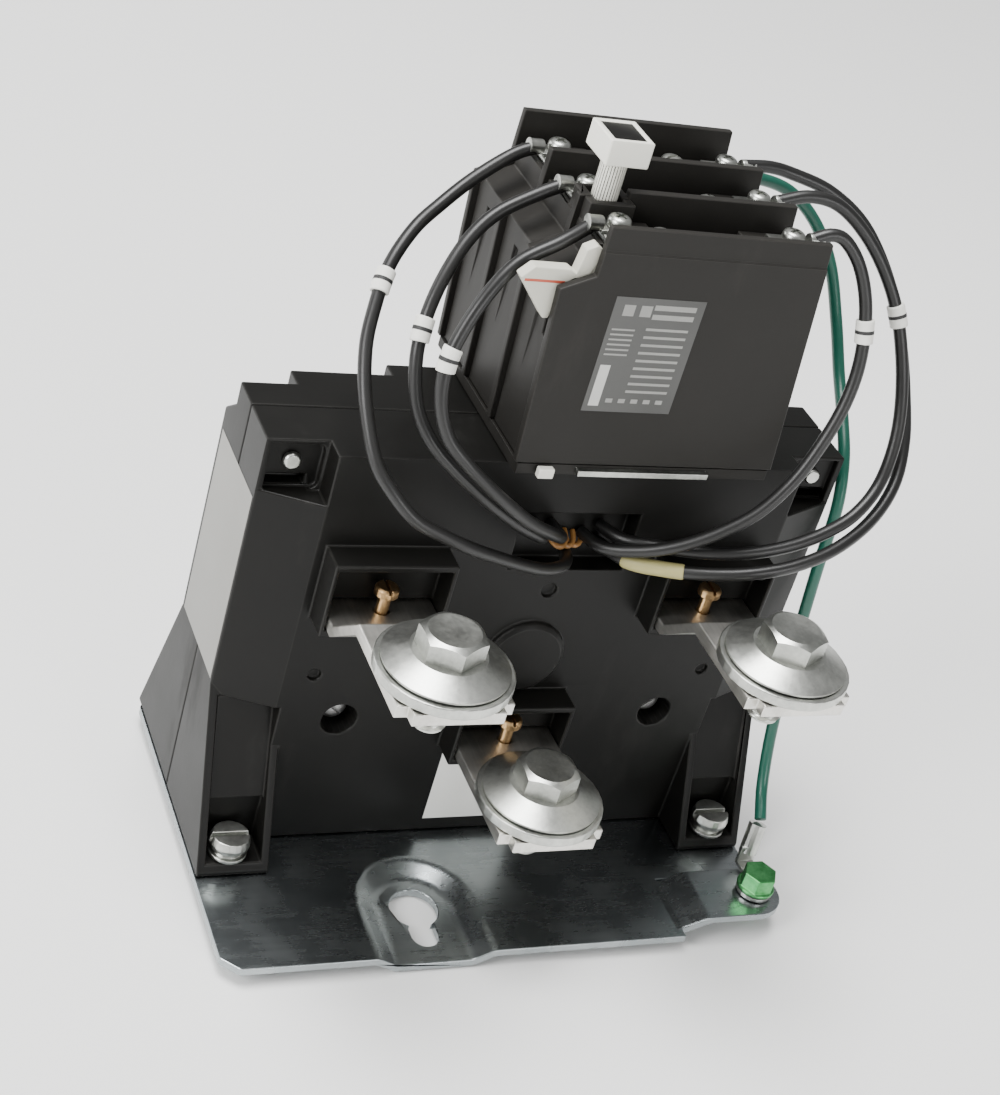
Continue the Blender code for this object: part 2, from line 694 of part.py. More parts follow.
def contact_carrier():
    """The moulded carrier: a beam with a spring window for each bridge."""
    y = (-CARRIER_HALF_Y, CARRIER_HALF_Y)
    half = SPRING_X + 0.0042
    carrier = box((-half, half), y, (BEAM_BOTTOM, BEAM_TOP), "contact_carrier", BLACK)
    for _, x, root_top, _, _, _ in poles():
        bridge = root_top + TIP_H + CONTACT_GAP
        bottom = (bridge - 0.0009, bridge + 0.0009)
        crossbar = bridge + 0.0111
        top = BEAM_BOTTOM + 0.001 if x else crossbar + 0.0028
        window = [
            box((x - 0.0080, x - 0.0050), y, (bottom[0], top)),
            box((x + 0.0050, x + 0.0080), y, (bottom[0], top)),
            box((x - 0.0060, x + 0.0060), y, bottom),
            box((x - 0.0060, x + 0.0060), y, (crossbar, crossbar + 0.0028)),
        ]
        if x:
            join(carrier, window)
            continue
        arms = [box((-0.0300, 0.0300), y, (crossbar, crossbar + 0.0028))]
        for sign in (-1, 1):
            low, high = sorted((sign * 0.0266, sign * 0.0300))
            arms.append(box((low, high), y, (crossbar, BEAM_BOTTOM + 0.001)))
        join(carrier, arms + window)
    return carrier


def armature():
    """The laminated bar that the coil pulls down, and the carrier with it."""
    outline = [(-CORE_HALF_X, ARMATURE_BOTTOM), (CORE_HALF_X, ARMATURE_BOTTOM)]
    outline += [(CORE_HALF_X, BEAM_BOTTOM - GAP), (-CORE_HALF_X, BEAM_BOTTOM - GAP)]
    return prism(outline, "y", -CORE_HALF_Y, CORE_HALF_Y, "armature", STEEL)


def moving_contact(name, x, root_top):
    """A bridge with a tip over each of its pole's fixed tips."""
    low = root_top + TIP_H + CONTACT_GAP
    bridge = box((x - 0.0040, x + 0.0040), (-0.0122, 0.0122), (low + TIP_H, low + 0.0032), name, BRASS)
    tips = []
    for y in (-TIP_Y, TIP_Y):
        tips.append(rod((x, y, 0), "z", TIP_R, low, low + TIP_H + 0.0005, segments=14))
    return join(bridge, tips)


def coil_spring(name, centre, radius, wire, low, high, turns):
    """A helical spring of round wire."""
    sides, per_turn = 5, 10
    steps = int(turns * per_turn)
    rise = (high - low - 2 * wire) / steps
    rings = []
    for k in range(steps + 1):
        angle = 2 * math.pi * k / per_turn
        out = Vector((math.cos(angle), math.sin(angle), 0))
        middle = Vector((centre[0], centre[1], low + wire + rise * k)) + out * radius
        ring = []
        for s in range(sides):
            around = 2 * math.pi * s / sides
            point = middle + out * wire * math.cos(around) + Vector((0, 0, wire * math.sin(around)))
            ring.append(tuple(point))
        rings.append(ring)
    return loft(rings, name, STEEL)


def slab_outline(top):
    """The outline of a slab's wall: notched at its upper left, and wider at its foot."""
    return [
        (-0.0195, SLAB_BOTTOM),
        (0.0440, SLAB_BOTTOM),
        (0.0386, top),
        (-0.0138, top),
        (-0.0141, 0.1583),
        (-0.0215, 0.1549),
    ]


def relay_slab(name, index):
    """One slab: a thin wall in front and a thicker body behind, with terminal seats at its ends."""
    y = SLAB_FRONT_Y + SLAB_PITCH * index
    slab = prism(slab_outline(SLAB_TOP), "y", y, y + SLAB_WALL, name, BLACK)
    body = [
        (-0.0183, SLAB_BOTTOM),
        (0.0430, SLAB_BOTTOM),
        (0.0383, SEAT_Z),
        (0.0255, SEAT_Z),
        (0.0255, WELL_Z),
        (0.0030, WELL_Z),
        (0.0030, SEAT_Z),
        (-0.0130, SEAT_Z),
        (-0.0132, 0.1577),
        (-0.0200, 0.1545),
    ]
    join(slab, [prism(body, "y", y + 0.001, y + SLAB_PITCH - GAP)])
    groove_y = y + 0.0095
    cuts = [box((-0.05, -0.0190), (groove_y - 0.0012, groove_y + 0.0012), (0.1180, 0.1500))]
    if index == 0:
        cuts.append(box((-0.0300, -0.0098), (y + SLAB_WALL, y + 0.0057), (0.1415, 0.2)))
        cuts.append(box((-0.05, 0.05), (y - 0.001, y + 0.0004), (0.1640, 0.2)))
    notch = box(
        (KNOB_X - 0.0034, KNOB_X + 0.0034),
        (KNOB_Y - 0.0034, KNOB_Y + 0.0034),
        (0.1580, 0.2),
    )
    if index < 2:
        cuts.append(notch)
        limits = (KNOB_Y - 0.0051, y + SLAB_PITCH - GAP) if index == 0 else (y + 0.0010, KNOB_Y + 0.0041)
        join(slab, [box((KNOB_X - 0.0053, KNOB_X + 0.0053), limits, (SEAT_Z - 0.003, COLLAR_TOP))])
    else:
        bpy.data.objects.remove(notch, do_unlink=True)
    if index == 1:
        cuts.append(box((-0.05, KNOB_X + 0.0050), (y - 0.001, y + 0.0100), (COLLAR_TOP, 0.2)))
    cut(slab, cuts)
    if index == 0:
        pin = rod((LEVER_X, 0, LEVER_Z), "y", 0.0012, y + 0.0010, y + 0.0065, segments=12)
        join(slab, [pin])
    return slab


def relay_end_cover():
    y = SLAB_FRONT_Y + 3 * SLAB_PITCH
    return prism(slab_outline(SLAB_TOP + 0.001), "y", y, y + 0.0017, "relay_end_cover", BLACK)


def relay_bracket():
    """The clip plate under the block, with its bright lip along the front."""
    low = BODY_TOP + GAP
    plate = box((-0.0188, 0.0434), (-0.0242, 0.0290), (low, SLAB_BOTTOM - GAP), "relay_bracket", BLACK)
    return join(plate, [box((-0.0047, 0.0275), (-0.0258, -0.0230), (low + 0.0006, low + 0.0020))])


def reset_knob():
    """The push knob: a round stem under a block head that is open on top."""
    stem = (KNOB_X, KNOB_Y, 0)
    knob = rod(stem, "z", KNOB_STEM_R, 0.1620, KNOB_HEAD_Z + 0.001, "reset_knob", WHITE, 28)
    x_range = (KNOB_X - KNOB_HALF_X, KNOB_X + KNOB_HALF_X)
    y_range = (KNOB_Y - KNOB_HALF_Y, KNOB_Y + KNOB_HALF_Y)
    join(knob, [box(x_range, y_range, (KNOB_HEAD_Z, KNOB_TOP_Z))])
    rim = 0.0012
    recess = box(
        (x_range[0] + rim, x_range[1] - rim),
        (y_range[0] + rim, y_range[1] - rim),
        (KNOB_TOP_Z - KNOB_RECESS, 0.19),
    )
    return cut(knob, [recess])


def trip_lever():
    """The bent lever with its triangular flag, which rocks on the front slab's pin."""
    outline = [
        (-0.0296, 0.1558),
        (-0.0270, 0.1584),
        (-0.0190, 0.1584),
        (-0.0176, 0.1575),
        (-0.0168, 0.1630),
        (-0.0145, 0.1642),
        (-0.0126, 0.1628),
        (-0.0128, 0.1566),
        (-0.0160, 0.1528),
        (-0.0195, 0.1520),
        (-0.0210, 0.1468),
        (-0.0222, 0.1468),
    ]
    near = SLAB_FRONT_Y + SLAB_WALL + GAP
    lever = prism(outline, "y", near, near + 0.0030, "trip_lever", WHITE)
    return cut(lever, [rod((LEVER_X, 0, LEVER_Z), "y", 0.0015, -0.04, 0.0, segments=14)])


def smooth_route(points, spacing):
    """Points about one spacing apart on a smooth curve through the route's own points."""
    ends = [points[0] * 2 - points[1]] + points + [points[-1] * 2 - points[-2]]
    fine = []
    for a, b, c, d in zip(ends, ends[1:], ends[2:], ends[3:]):
        for k in range(12):
            t = k / 12
            fine.append(
                0.5
                * (
                    2 * b
                    + (c - a) * t
                    + (2 * a - 5 * b + 4 * c - d) * t * t
                    + (3 * b - a - 3 * c + d) * t * t * t
                )
            )
    fine.append(points[-1])
    along = [0.0]
    for a, b in zip(fine, fine[1:]):
        along.append(along[-1] + (b - a).length)
    count = max(2, round(along[-1] / spacing))
    route, i = [], 0
    for k in range(count + 1):
        want = along[-1] * k / count
        while i < len(fine) - 2 and along[i + 1] < want:
            i += 1
        share = (want - along[i]) / (along[i + 1] - along[i])
        route.append(fine[i].lerp(fine[i + 1], min(1.0, share)))
    return route


def lead(name, millimetres, finish):
    """A lead along its whole route, given in millimetres."""
    points = [Vector(p) / 1000 for p in millimetres]
    route = smooth_route(points, 5 * LEAD_R)
    curve = bpy.data.curves.new(name, "CURVE")
    curve.dimensions = "3D"
    curve.bevel_depth = LEAD_R
    curve.bevel_resolution = 2
    curve.use_fill_caps = True
    spline = curve.splines.new("POLY")
    spline.points.add(len(route) - 1)
    for point, place_at in zip(spline.points, route):
        point.co = (*place_at, 1.0)
    curve.materials.append(finish)
    made = bpy.data.objects.new(name, curve)
    bpy.context.scene.collection.objects.link(made)
    return made


# Lead routes in millimetres, from the slab terminal down to the window in the front shell.
LEAD_ROUTES = {
    "lead_left_rear": [
        (-12.5, 20.1, 165.6), (-18, 19.5, 163.5), (-27, 16.5, 158.5), (-35, 12.5, 153.5),
        (-41.5, 8, 149.5), (-47.5, 2, 143.5), (-51, -4, 136.5), (-53, -9.5, 130),
        (-53.4, -17, 122), (-51.6, -25, 113), (-48, -29.5, 108), (-42.5, -32.5, 103),
        (-35, -33.5, 99.5), (-28, -33.5, 96.5), (-20, -32, 93), (-13, -30, 89.8), (-6, -27.5, 87),
        (0, -24, 85.4), (3, -19.5, 84.6), (3.8, -15.0, 84.4),
    ],
    "lead_left_middle": [
        (-12.5, 2.6, 165.6), (-19, 2.3, 162.5), (-27.5, 0.5, 158.3), (-34, -3, 153.3),
        (-39.5, -8, 146.5), (-43, -12.5, 139.3), (-44.5, -16.5, 132), (-43.5, -21, 123.5),
        (-40, -25, 117.5), (-34.5, -27.5, 112.5), (-28.5, -29, 108), (-22, -29.5, 103.5),
        (-15.5, -28.5, 99), (-9.5, -26, 95), (-6.2, -22, 92), (-5.3, -15.0, 90.6),
    ],
    "lead_left_front": [
        (-12.5, -14.5, 165.6), (-19, -14.9, 160.8), (-28, -16.4, 156), (-34.5, -19.4, 149.5),
        (-39.5, -22.5, 141), (-41.4, -24.7, 134), (-41, -26.8, 127), (-38.3, -28.8, 120.8),
        (-33.5, -30.8, 116), (-28, -32, 111.5), (-22, -32.6, 107), (-15.5, -31.8, 102.3),
        (-9, -29.5, 98.3), (-4.2, -26, 94.8), (-1.6, -21.5, 92), (-1, -15.0, 90.6),
    ],
    "lead_right_rear": [
        (39.5, 20.1, 166), (46, 20.1, 166.3), (52, 19.5, 165.5), (61.5, 17, 163.3),
        (70, 13, 158.5), (76, 8, 151.3), (79.8, 1, 142.5), (82, -4.5, 134), (83, -10, 126),
        (82.5, -17, 117.5), (79, -24, 110), (71.5, -30.5, 104.2), (61, -35.8, 99.8),
        (50, -38.3, 96.5), (39.5, -37.8, 93.8), (30, -34.3, 91), (22, -29.5, 88.8),
        (15.5, -24.2, 87.2), (11.5, -15.0, 86.3),
    ],
    "lead_right_middle": [
        (39.5, 2.6, 166), (47, 2.4, 168), (54.5, 1.2, 167), (62.5, -1.3, 161.5),
        (69.3, -5, 153.5), (74, -9, 144.5), (77, -14.5, 132.5), (76.8, -20.5, 121.5),
        (73, -26.3, 112), (66, -31, 106), (57.5, -33.5, 102), (48, -34.5, 98.8),
        (38, -33.3, 96), (28.5, -29.8, 93.8), (20.5, -25.5, 92.3), (14.5, -21.5, 91.2),
        (11.3, -15.0, 90.6),
    ],
    "lead_right_front": [
        (39.5, -14.9, 166), (43.5, -15.2, 167.6), (47, -16, 166.8), (51, -18, 162.5),
        (54, -20.3, 156), (55.5, -22.8, 148.5), (55.7, -25.2, 140.5), (54, -27.6, 132.5),
        (50.5, -29.8, 124), (45.5, -31.7, 115), (38.5, -33, 107), (30.5, -32.5, 100.8),
        (23, -30.5, 95.8), (16, -27, 91.9), (9.8, -22, 89.2), (7.2, -15.0, 88.6),
    ],
}
GROUND_ROUTE = [
    (40.3, 24.2, 160.5), (48, 26, 160.6), (58, 26.5, 157.8), (67, 25.5, 151), (73.5, 22.5, 141.5),
    (77, 17, 129.5), (77.5, 9, 119.5), (76, -1, 112.5), (74.6, -9, 106), (74, -14, 96),
    (73.8, -16, 81), (73.8, -18, 67), (73.8, -20.5, 50), (73.8, -24, 34), (73, -29.5, 22),
    (71, -36.5, 16.4),
]


def ground_ring():
    """The crimped ring terminal under the ground screw."""
    low = TAB_LIFT + PLATE_THICK + GAP
    ring = rod((GROUND_X, GROUND_Y, 0), "z", 0.0046, low, low + 0.0010, "ground_ring", BRIGHT, 20)
    join(ring, [
        box((0.0660, 0.0706), (GROUND_Y + 0.002, -0.0395), (low, low + 0.0010)),
        box((0.0660, 0.0706), (-0.0405, -0.0395), (low, low + 0.0055)),
    ])
    barrel = rod((0, 0, 0), "z", 0.0023, 0.0, 0.0080, segments=14)
    direction = Vector((0.20, 0.30, 0.93)).normalized()
    barrel.data.transform(direction.to_track_quat("Z", "Y").to_matrix().to_4x4())
    barrel.data.transform(Matrix.Translation((0.0686, -0.0397, low + 0.0030)))
    join(ring, [barrel])
    return cut(ring, [rod((GROUND_X, GROUND_Y, 0), "z", 0.0024, 0.0, 0.02, segments=14)])


def ground_screw():
    """The green hexagon washer-head screw."""
    low = TAB_LIFT + PLATE_THICK + 0.0010 + 2 * GAP
    profile = [
        (0.0020, -0.0020),
        (0.0020, low),
        (0.0048, low),
        (0.0048, low + 0.0009),
        (0.0020, low + 0.0009),
        (0.0020, low + 0.0020),
    ]
    screw = turned(profile, (GROUND_X, GROUND_Y, 0), "z", "ground_screw", GREEN, 20)
    head = rod((GROUND_X, GROUND_Y, 0), "z", 0.0044, low + 0.0007, low + 0.0049, segments=6)
    return join(screw, [head])


mounting_plate()
front_housing()
rear_housing()
for pole, pole_x, root, flat, bolt_at, end_at in poles():
    front_bend = (0.0295, 0.0420) if flat > root else (0.0295, 0.0320)
    strap(f"front_strap_{pole}", pole_x, root, flat, front_bend, bolt_at, end_at, -1)
    washer(f"front_washer_{pole}", pole_x, -bolt_at, flat)
    terminal_bolt(f"front_bolt_{pole}", pole_x, -bolt_at, flat)
    rear_flat = root + REAR_RISE
    strap(f"rear_strap_{pole}", pole_x, root, rear_flat, (0.0200, 0.0222), REAR_BOLT_Y, REAR_END_Y, 1)
    washer(f"rear_washer_{pole}", pole_x, REAR_BOLT_Y, rear_flat)
    terminal_bolt(f"rear_bolt_{pole}", pole_x, REAR_BOLT_Y, rear_flat)
    strap_screw(f"strap_screw_{pole}", pole_x, root)
    moving_contact(f"moving_contact_{pole}", pole_x, root)
    bridge_top = root + TIP_H + CONTACT_GAP + 0.0032
    coil_spring(
        f"contact_spring_{pole}", (pole_x, 0), 0.0024, 0.0004, bridge_top + GAP, bridge_top + 0.0076, 4
    )
for hand, sign_x in (("left", -1), ("right", 1)):
    slotted_screw(f"mount_screw_front_{hand}", sign_x * MOUNT_X, -MOUNT_Y)
    slotted_screw(f"mount_screw_rear_{hand}", sign_x * MOUNT_X, MOUNT_Y)
    cover_screw(f"cover_screw_{hand}", sign_x * COVER_X)
    coil_spring(
        f"return_spring_{hand}",
        (sign_x * SPRING_X, 0),
        0.0032,
        0.00045,
        SHELF_TOP + GAP,
        BEAM_BOTTOM - GAP,
        6,
    )
magnet_core()
coil()
armature()
contact_carrier()
for slab_name, slab_index in (("front", 0), ("middle", 1), ("rear", 2)):
    relay_slab(f"relay_slab_{slab_name}", slab_index)
relay_end_cover()
relay_bracket()
box((-0.0143, -0.0106), (-0.0264, -0.0246), (0.1101, 0.1125), "retaining_slide", WHITE)
reset_knob()
trip_lever()
for lead_name, lead_route in LEAD_ROUTES.items():
    lead(lead_name, lead_route, BLACK_LEAD)
lead("ground_lead", GROUND_ROUTE, GREEN_LEAD)
ground_ring()
ground_screw()
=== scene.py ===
# %% [markdown]
# # A three-pole power contactor with its relay block
# The contactor is the switching unit of an automatic transfer switch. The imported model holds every
# solid part in metres, with the plate's underside at z = 0 and the load terminals towards -Y. This
# lesson keeps those solids as the frame, gives each one its finish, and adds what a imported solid
# leaves out: rounded edges, threads, labels, sleeves and small screws.

# %% Load the frame
import json
import math

import bmesh
import bpy
from mathutils import Matrix, Vector

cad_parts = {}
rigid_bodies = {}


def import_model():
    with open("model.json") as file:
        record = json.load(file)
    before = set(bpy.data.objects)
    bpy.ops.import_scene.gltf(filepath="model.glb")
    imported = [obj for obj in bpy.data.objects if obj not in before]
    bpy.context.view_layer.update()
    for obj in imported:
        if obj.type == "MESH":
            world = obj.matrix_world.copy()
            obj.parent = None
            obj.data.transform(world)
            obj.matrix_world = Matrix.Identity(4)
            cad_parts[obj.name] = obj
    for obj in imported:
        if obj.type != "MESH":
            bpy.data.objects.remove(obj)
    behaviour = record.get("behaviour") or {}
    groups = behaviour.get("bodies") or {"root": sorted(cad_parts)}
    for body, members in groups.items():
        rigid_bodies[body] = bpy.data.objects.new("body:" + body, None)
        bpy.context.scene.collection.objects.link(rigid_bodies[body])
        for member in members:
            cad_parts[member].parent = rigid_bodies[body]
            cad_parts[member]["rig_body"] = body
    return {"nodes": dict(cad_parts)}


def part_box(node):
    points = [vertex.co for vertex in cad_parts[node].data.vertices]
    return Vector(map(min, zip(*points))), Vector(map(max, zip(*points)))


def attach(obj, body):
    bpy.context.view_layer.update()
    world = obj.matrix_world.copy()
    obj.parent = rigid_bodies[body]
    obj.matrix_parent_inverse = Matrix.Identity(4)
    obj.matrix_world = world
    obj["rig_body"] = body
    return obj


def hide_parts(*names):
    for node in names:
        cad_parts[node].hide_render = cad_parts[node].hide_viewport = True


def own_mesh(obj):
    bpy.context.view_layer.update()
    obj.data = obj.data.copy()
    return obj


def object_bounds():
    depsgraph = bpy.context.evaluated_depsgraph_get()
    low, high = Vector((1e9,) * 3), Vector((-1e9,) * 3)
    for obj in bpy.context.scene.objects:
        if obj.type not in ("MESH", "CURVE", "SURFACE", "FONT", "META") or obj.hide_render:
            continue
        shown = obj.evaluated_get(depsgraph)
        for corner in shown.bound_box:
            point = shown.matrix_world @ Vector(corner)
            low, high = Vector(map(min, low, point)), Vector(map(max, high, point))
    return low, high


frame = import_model()
nodes = frame["nodes"]
cad_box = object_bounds()

# %% [markdown]
# ## Camera
# The unit is seen from the front left and above, with the camera rolled so that the plate's front
# edge climbs to the right. A camera's matrix is built here from its own right, up and back
# directions, which is easier to reason about than three Euler angles when there is roll. The eye is
# given as its distances along those three directions.

# %% Camera
TURN, TILT, ROLL = math.radians(-29.38), math.radians(31.68), math.radians(17.31)
FOCAL_SHARE = 2.10302  # focal length as a share of the frame's width
SENSOR = 36
EYE_RIGHT, EYE_UP, EYE_BACK = 0.01596, 0.06066, 0.53178
LOOKED_AT = Vector((0, 0, 0.002))
SHIFT = (-0.00351, -0.01234)
back = Vector((math.sin(TURN) * math.cos(TILT), -math.cos(TURN) * math.cos(TILT), math.sin(TILT)))
level = Vector((math.cos(TURN), math.sin(TURN), 0))
upright = back.cross(level)
right = math.cos(ROLL) * level + math.sin(ROLL) * upright
up = -math.sin(ROLL) * level + math.cos(ROLL) * upright
eye = EYE_RIGHT * right + EYE_UP * up + EYE_BACK * back + LOOKED_AT

lens = bpy.data.cameras.new("view")
lens.sensor_fit = "HORIZONTAL"
lens.sensor_width = SENSOR
lens.lens = FOCAL_SHARE * SENSOR
lens.shift_x, lens.shift_y = SHIFT
lens.clip_start = 0.01
camera = bpy.data.objects.new("view", lens)
camera.matrix_world = Matrix([
    [right.x, up.x, back.x, eye.x],
    [right.y, up.y, back.y, eye.y],
    [right.z, up.z, back.z, eye.z],
    [0, 0, 0, 1],
])
bpy.context.scene.collection.objects.link(camera)
bpy.context.scene.camera = camera
print("camera at", [round(c, 3) for c in eye])

# %% [markdown]
# ## Floor and light
# A wide pale floor lies under the object. Four soft lights stand round it, with a broad sun overhead and
# a dim white world. The key is high on the left, so that the plated parts get broad highlights.

# %% Floor and backdrop
def new_object(name, mesh):
    """Puts a mesh in the scene as an object at the origin."""
    made = bpy.data.objects.new(name, mesh)
    bpy.context.scene.collection.objects.link(made)
    return made


def mesh_of(name, points, faces):
    """A mesh from points and faces."""
    mesh = bpy.data.meshes.new(name)
    mesh.from_pydata([tuple(p) for p in points], [], faces)
    mesh.update()
    return mesh


FLOOR_Z, FLOOR_HALF = cad_box[0][2] - 0.0005, 9
corners = [(FLOOR_HALF * i, FLOOR_HALF * j, FLOOR_Z) for i, j in ((-1, -1), (1, -1), (1, 1), (-1, 1))]
floor = new_object("floor", mesh_of("floor", corners, [(0, 1, 2, 3)]))
paper = bpy.data.materials.new("pale_floor")
paper.use_nodes = True
paper_shader = paper.node_tree.nodes["Principled BSDF"]
paper_shader.inputs["Base Color"].default_value = (0.90, 0.90, 0.89, 1)
paper_shader.inputs["Roughness"].default_value = 0.9
floor.data.materials.append(paper)


# %% Soft lights
def soft_light(name, place, aim, width, height, watts):
    """A rectangular light that looks from its place to the aim."""
    lamp = bpy.data.lights.new(name, "AREA")
    lamp.shape = "RECTANGLE"
    lamp.size, lamp.size_y = width, height
    lamp.energy = watts
    made = bpy.data.objects.new(name, lamp)
    made.location = place
    made.rotation_euler = (Vector(aim) - Vector(place)).to_track_quat("-Z", "Y").to_euler()
    bpy.context.scene.collection.objects.link(made)


AIM = (0, 0, 0.08)
soft_light("key", (-1.10, -0.35, 0.75), AIM, 0.50, 0.70, 17.0)
soft_light("top", (-0.15, 0.15, 1.20), AIM, 0.50, 0.50, 12.0)
soft_light("fill", (0.35, -1.20, 0.50), AIM, 0.60, 0.40, 6.0)
soft_light("rear", (-0.85, 0.90, 0.45), AIM, 0.50, 0.50, 4.0)
sun = bpy.data.objects.new("overhead", bpy.data.lights.new("overhead", "SUN"))
sun.data.energy = 2.6
sun.data.angle = math.radians(40)
sun.rotation_euler = (math.radians(-8), math.radians(-10), 0)
bpy.context.scene.collection.objects.link(sun)
world = bpy.data.worlds.new("studio")
world.use_nodes = True
world.node_tree.nodes["Background"].inputs["Color"].default_value = (1, 1, 1, 1)
world.node_tree.nodes["Background"].inputs["Strength"].default_value = 0.34
bpy.context.scene.world = world

# %% [markdown]
# ## Shader maths as Python expressions
# A procedural material is arithmetic on sockets. Wrapping a socket in a small class lets the maths be
# written as Python: `0.1 * mask` adds its own Math node. One method adds any other node: its settings
# come first, because some of them decide which sockets it has.


# %% Sockets that do arithmetic
class Wire:
    """A number socket of a material's node tree."""

    def __init__(self, tree, socket):
        self.tree, self.socket = tree, socket

    def _math(self, operation, first, second):
        node = self.tree.nodes.new("ShaderNodeMath")
        node.operation = operation
        for slot_in, value in zip(node.inputs, (first, second)):
            connect(self.tree, slot_in, value)
        return Wire(self.tree, node.outputs[0])

    def __add__(self, other):
        return self._math("ADD", self, other)

    def __radd__(self, other):
        return self._math("ADD", other, self)

    def __mul__(self, other):
        return self._math("MULTIPLY", self, other)

    def __rmul__(self, other):
        return self._math("MULTIPLY", other, self)


def connect(tree, socket, value):
    """Links a wire to a socket, or sets the socket's own value."""
    if isinstance(value, Wire):
        tree.links.new(value.socket, socket)
    elif isinstance(value, tuple) and len(value) == 3 and len(socket.default_value) == 4:
        socket.default_value = (*value, 1.0)
    else:
        socket.default_value = value


class Finish:
    """A material under construction, round one Principled shader."""

    def __init__(self, name):
        self.material = bpy.data.materials.new(name)
        self.material.use_nodes = True
        self.tree = self.material.node_tree
        self.shader = self.tree.nodes["Principled BSDF"]
        self.place = self.add("ShaderNodeTexCoord", {}, {}, "Object")

    def add(self, kind, settings, values, out=0):
        """Adds a node, with its settings first, then its values or links, and returns one output."""
        node = self.tree.nodes.new(kind)
        for key, value in settings.items():
            setattr(node, key, value)
        for key, value in values.items():
            connect(self.tree, node.inputs[key], value)
        return Wire(self.tree, node.outputs[out])

    def set(self, **values):
        """Sets the shader's own sockets: base_color means Base Color."""
        for key, value in values.items():
            socket = key.replace("_", " ").title().replace("Ior", "IOR")
            connect(self.tree, self.shader.inputs[socket], value)

    def cloud(self, scale, detail=3.0, rough=0.55, stretch=None):
        """Noise from 0 to 1 in the object's own metres, stretched along an axis if asked."""
        where = self.place
        if stretch:
            where = self.add("ShaderNodeMapping", {}, {"Vector": where, "Scale": stretch})
        values = {"Vector": where, "Scale": scale, "Detail": detail, "Roughness": rough}
        return self.add("ShaderNodeTexNoise", {}, values)

    def blend(self, share, first, second):
        """Mixes two colours by a share. The colour sockets of a Mix node have the numbers 6, 7 and 2."""
        return self.add("ShaderNodeMix", {"data_type": "RGBA"}, {0: share, 6: first, 7: second}, 2)

    def steps(self, value, low, high):
        """Raises a value smoothly from 0 at low to 1 at high."""
        settings = {"interpolation_type": "SMOOTHSTEP"}
        return self.add("ShaderNodeMapRange", settings, {"Value": value, "From Min": low, "From Max": high})

    def bumps(self, height, depth, strength):
        """Feeds a height to the shader's normal, with depth in metres."""
        self.set(normal=self.add(
            "ShaderNodeBump", {}, {"Height": height, "Distance": depth, "Strength": strength}, "Normal"
        ))
        return self


print("shader helpers ready")

# %% [markdown]
# ## Black moulded parts
# The shells and the relay slabs are thermoset mouldings: nearly black, with a faint grey bloom, a
# broad soft gloss and a skin that is very slightly uneven. The bevel's faces get a paler finish of
# their own: partly wear, where rounded edges are rubbed, and partly a painted highlight.


# %% Black moulding
DUST_GREY = (0.115, 0.112, 0.105)


def moulding(name, dark, pale, rough, dust):
    """A dark moulded finish, with a cloudy bloom, fine specks and patches of dust."""
    finish = Finish(name)
    bloom = finish.cloud(55, 4)
    speck = finish.cloud(1400, 2)
    scuff = finish.steps(finish.cloud(38, 5, 0.7, (1, 1, 0.35)), 0.56, 0.74)
    colour = finish.blend(bloom * 0.8 + speck * 0.2, dark, pale)
    colour = finish.blend(scuff * dust, colour, DUST_GREY)
    shine = rough + 0.10 * bloom + 0.12 * scuff
    finish.set(base_color=colour, roughness=shine, specular_ior_level=0.18)
    return finish.bumps(finish.cloud(420, 3) * 0.7 + speck * 0.3, 0.00006, 0.35).material


# The paler edge finishes are partly rubbed wear and partly a painted highlight on the bevel's faces.
black_shell = moulding("black_shell", (0.0036, 0.0035, 0.0031), (0.0080, 0.0077, 0.0068), 0.38, 0.06)
shell_edge_wear_and_highlight = moulding("shell_edge_wear_and_highlight", (0.0066, 0.0064, 0.0057), (0.0165, 0.0160, 0.0145), 0.34, 0.22)
slab_black = moulding("slab_black", (0.0130, 0.0121, 0.0107), (0.0215, 0.0202, 0.0180), 0.42, 0.08)
slab_edge_wear_and_highlight = moulding("slab_edge_wear_and_highlight", (0.0175, 0.0165, 0.0148), (0.0330, 0.0312, 0.0285), 0.36, 0.22)
print("black mouldings:", black_shell.name, slab_black.name)

# %% [markdown]
# ## Plated metal
# The plate is cold-rolled sheet with a dark zinc finish: a mirror with a grain, so its noise is
# stretched along the rolling direction. The terminal hardware is bright zinc, cloudy and a little
# warm where the passivation is thick.


# %% Metals
def metal(name, dark, pale, rough, spread, grain=None, depth=0.00003):
    """A cloudy bare metal, with its fine noise stretched along a grain if one is given."""
    finish = Finish(name)
    patch = finish.cloud(90, 4)
    fine = finish.cloud(900, 3, 0.6, grain)
    finish.set(
        base_color=finish.blend(finish.steps(patch * 0.7 + fine * 0.3, 0.30, 0.68), dark, pale),
        metallic=1.0,
        roughness=rough + spread * patch + 0.5 * spread * fine,
    )
    return finish.bumps(fine, depth, 0.35).material


sheet_zinc = metal("sheet_zinc", (0.30, 0.33, 0.34), (0.40, 0.43, 0.44), 0.20, 0.10, (0.06, 1, 1), 0.000008)
bright_zinc = metal("bright_zinc", (0.40, 0.41, 0.385), (0.64, 0.65, 0.61), 0.20, 0.18)
tinned_bar = metal("tinned_bar", (0.58, 0.57, 0.53), (0.84, 0.82, 0.77), 0.24, 0.18, (1, 0.08, 1))
screw_brass = metal("screw_brass", (0.42, 0.26, 0.12), (0.68, 0.46, 0.24), 0.24, 0.20)
plain_steel = metal("plain_steel", (0.34, 0.34, 0.34), (0.50, 0.50, 0.49), 0.28, 0.20, (0.05, 1, 1))
spring_steel = metal("spring_steel", (0.40, 0.40, 0.41), (0.62, 0.62, 0.62), 0.22, 0.14)
contact_copper = metal("contact_copper", (0.50, 0.24, 0.13), (0.70, 0.38, 0.22), 0.26, 0.18)
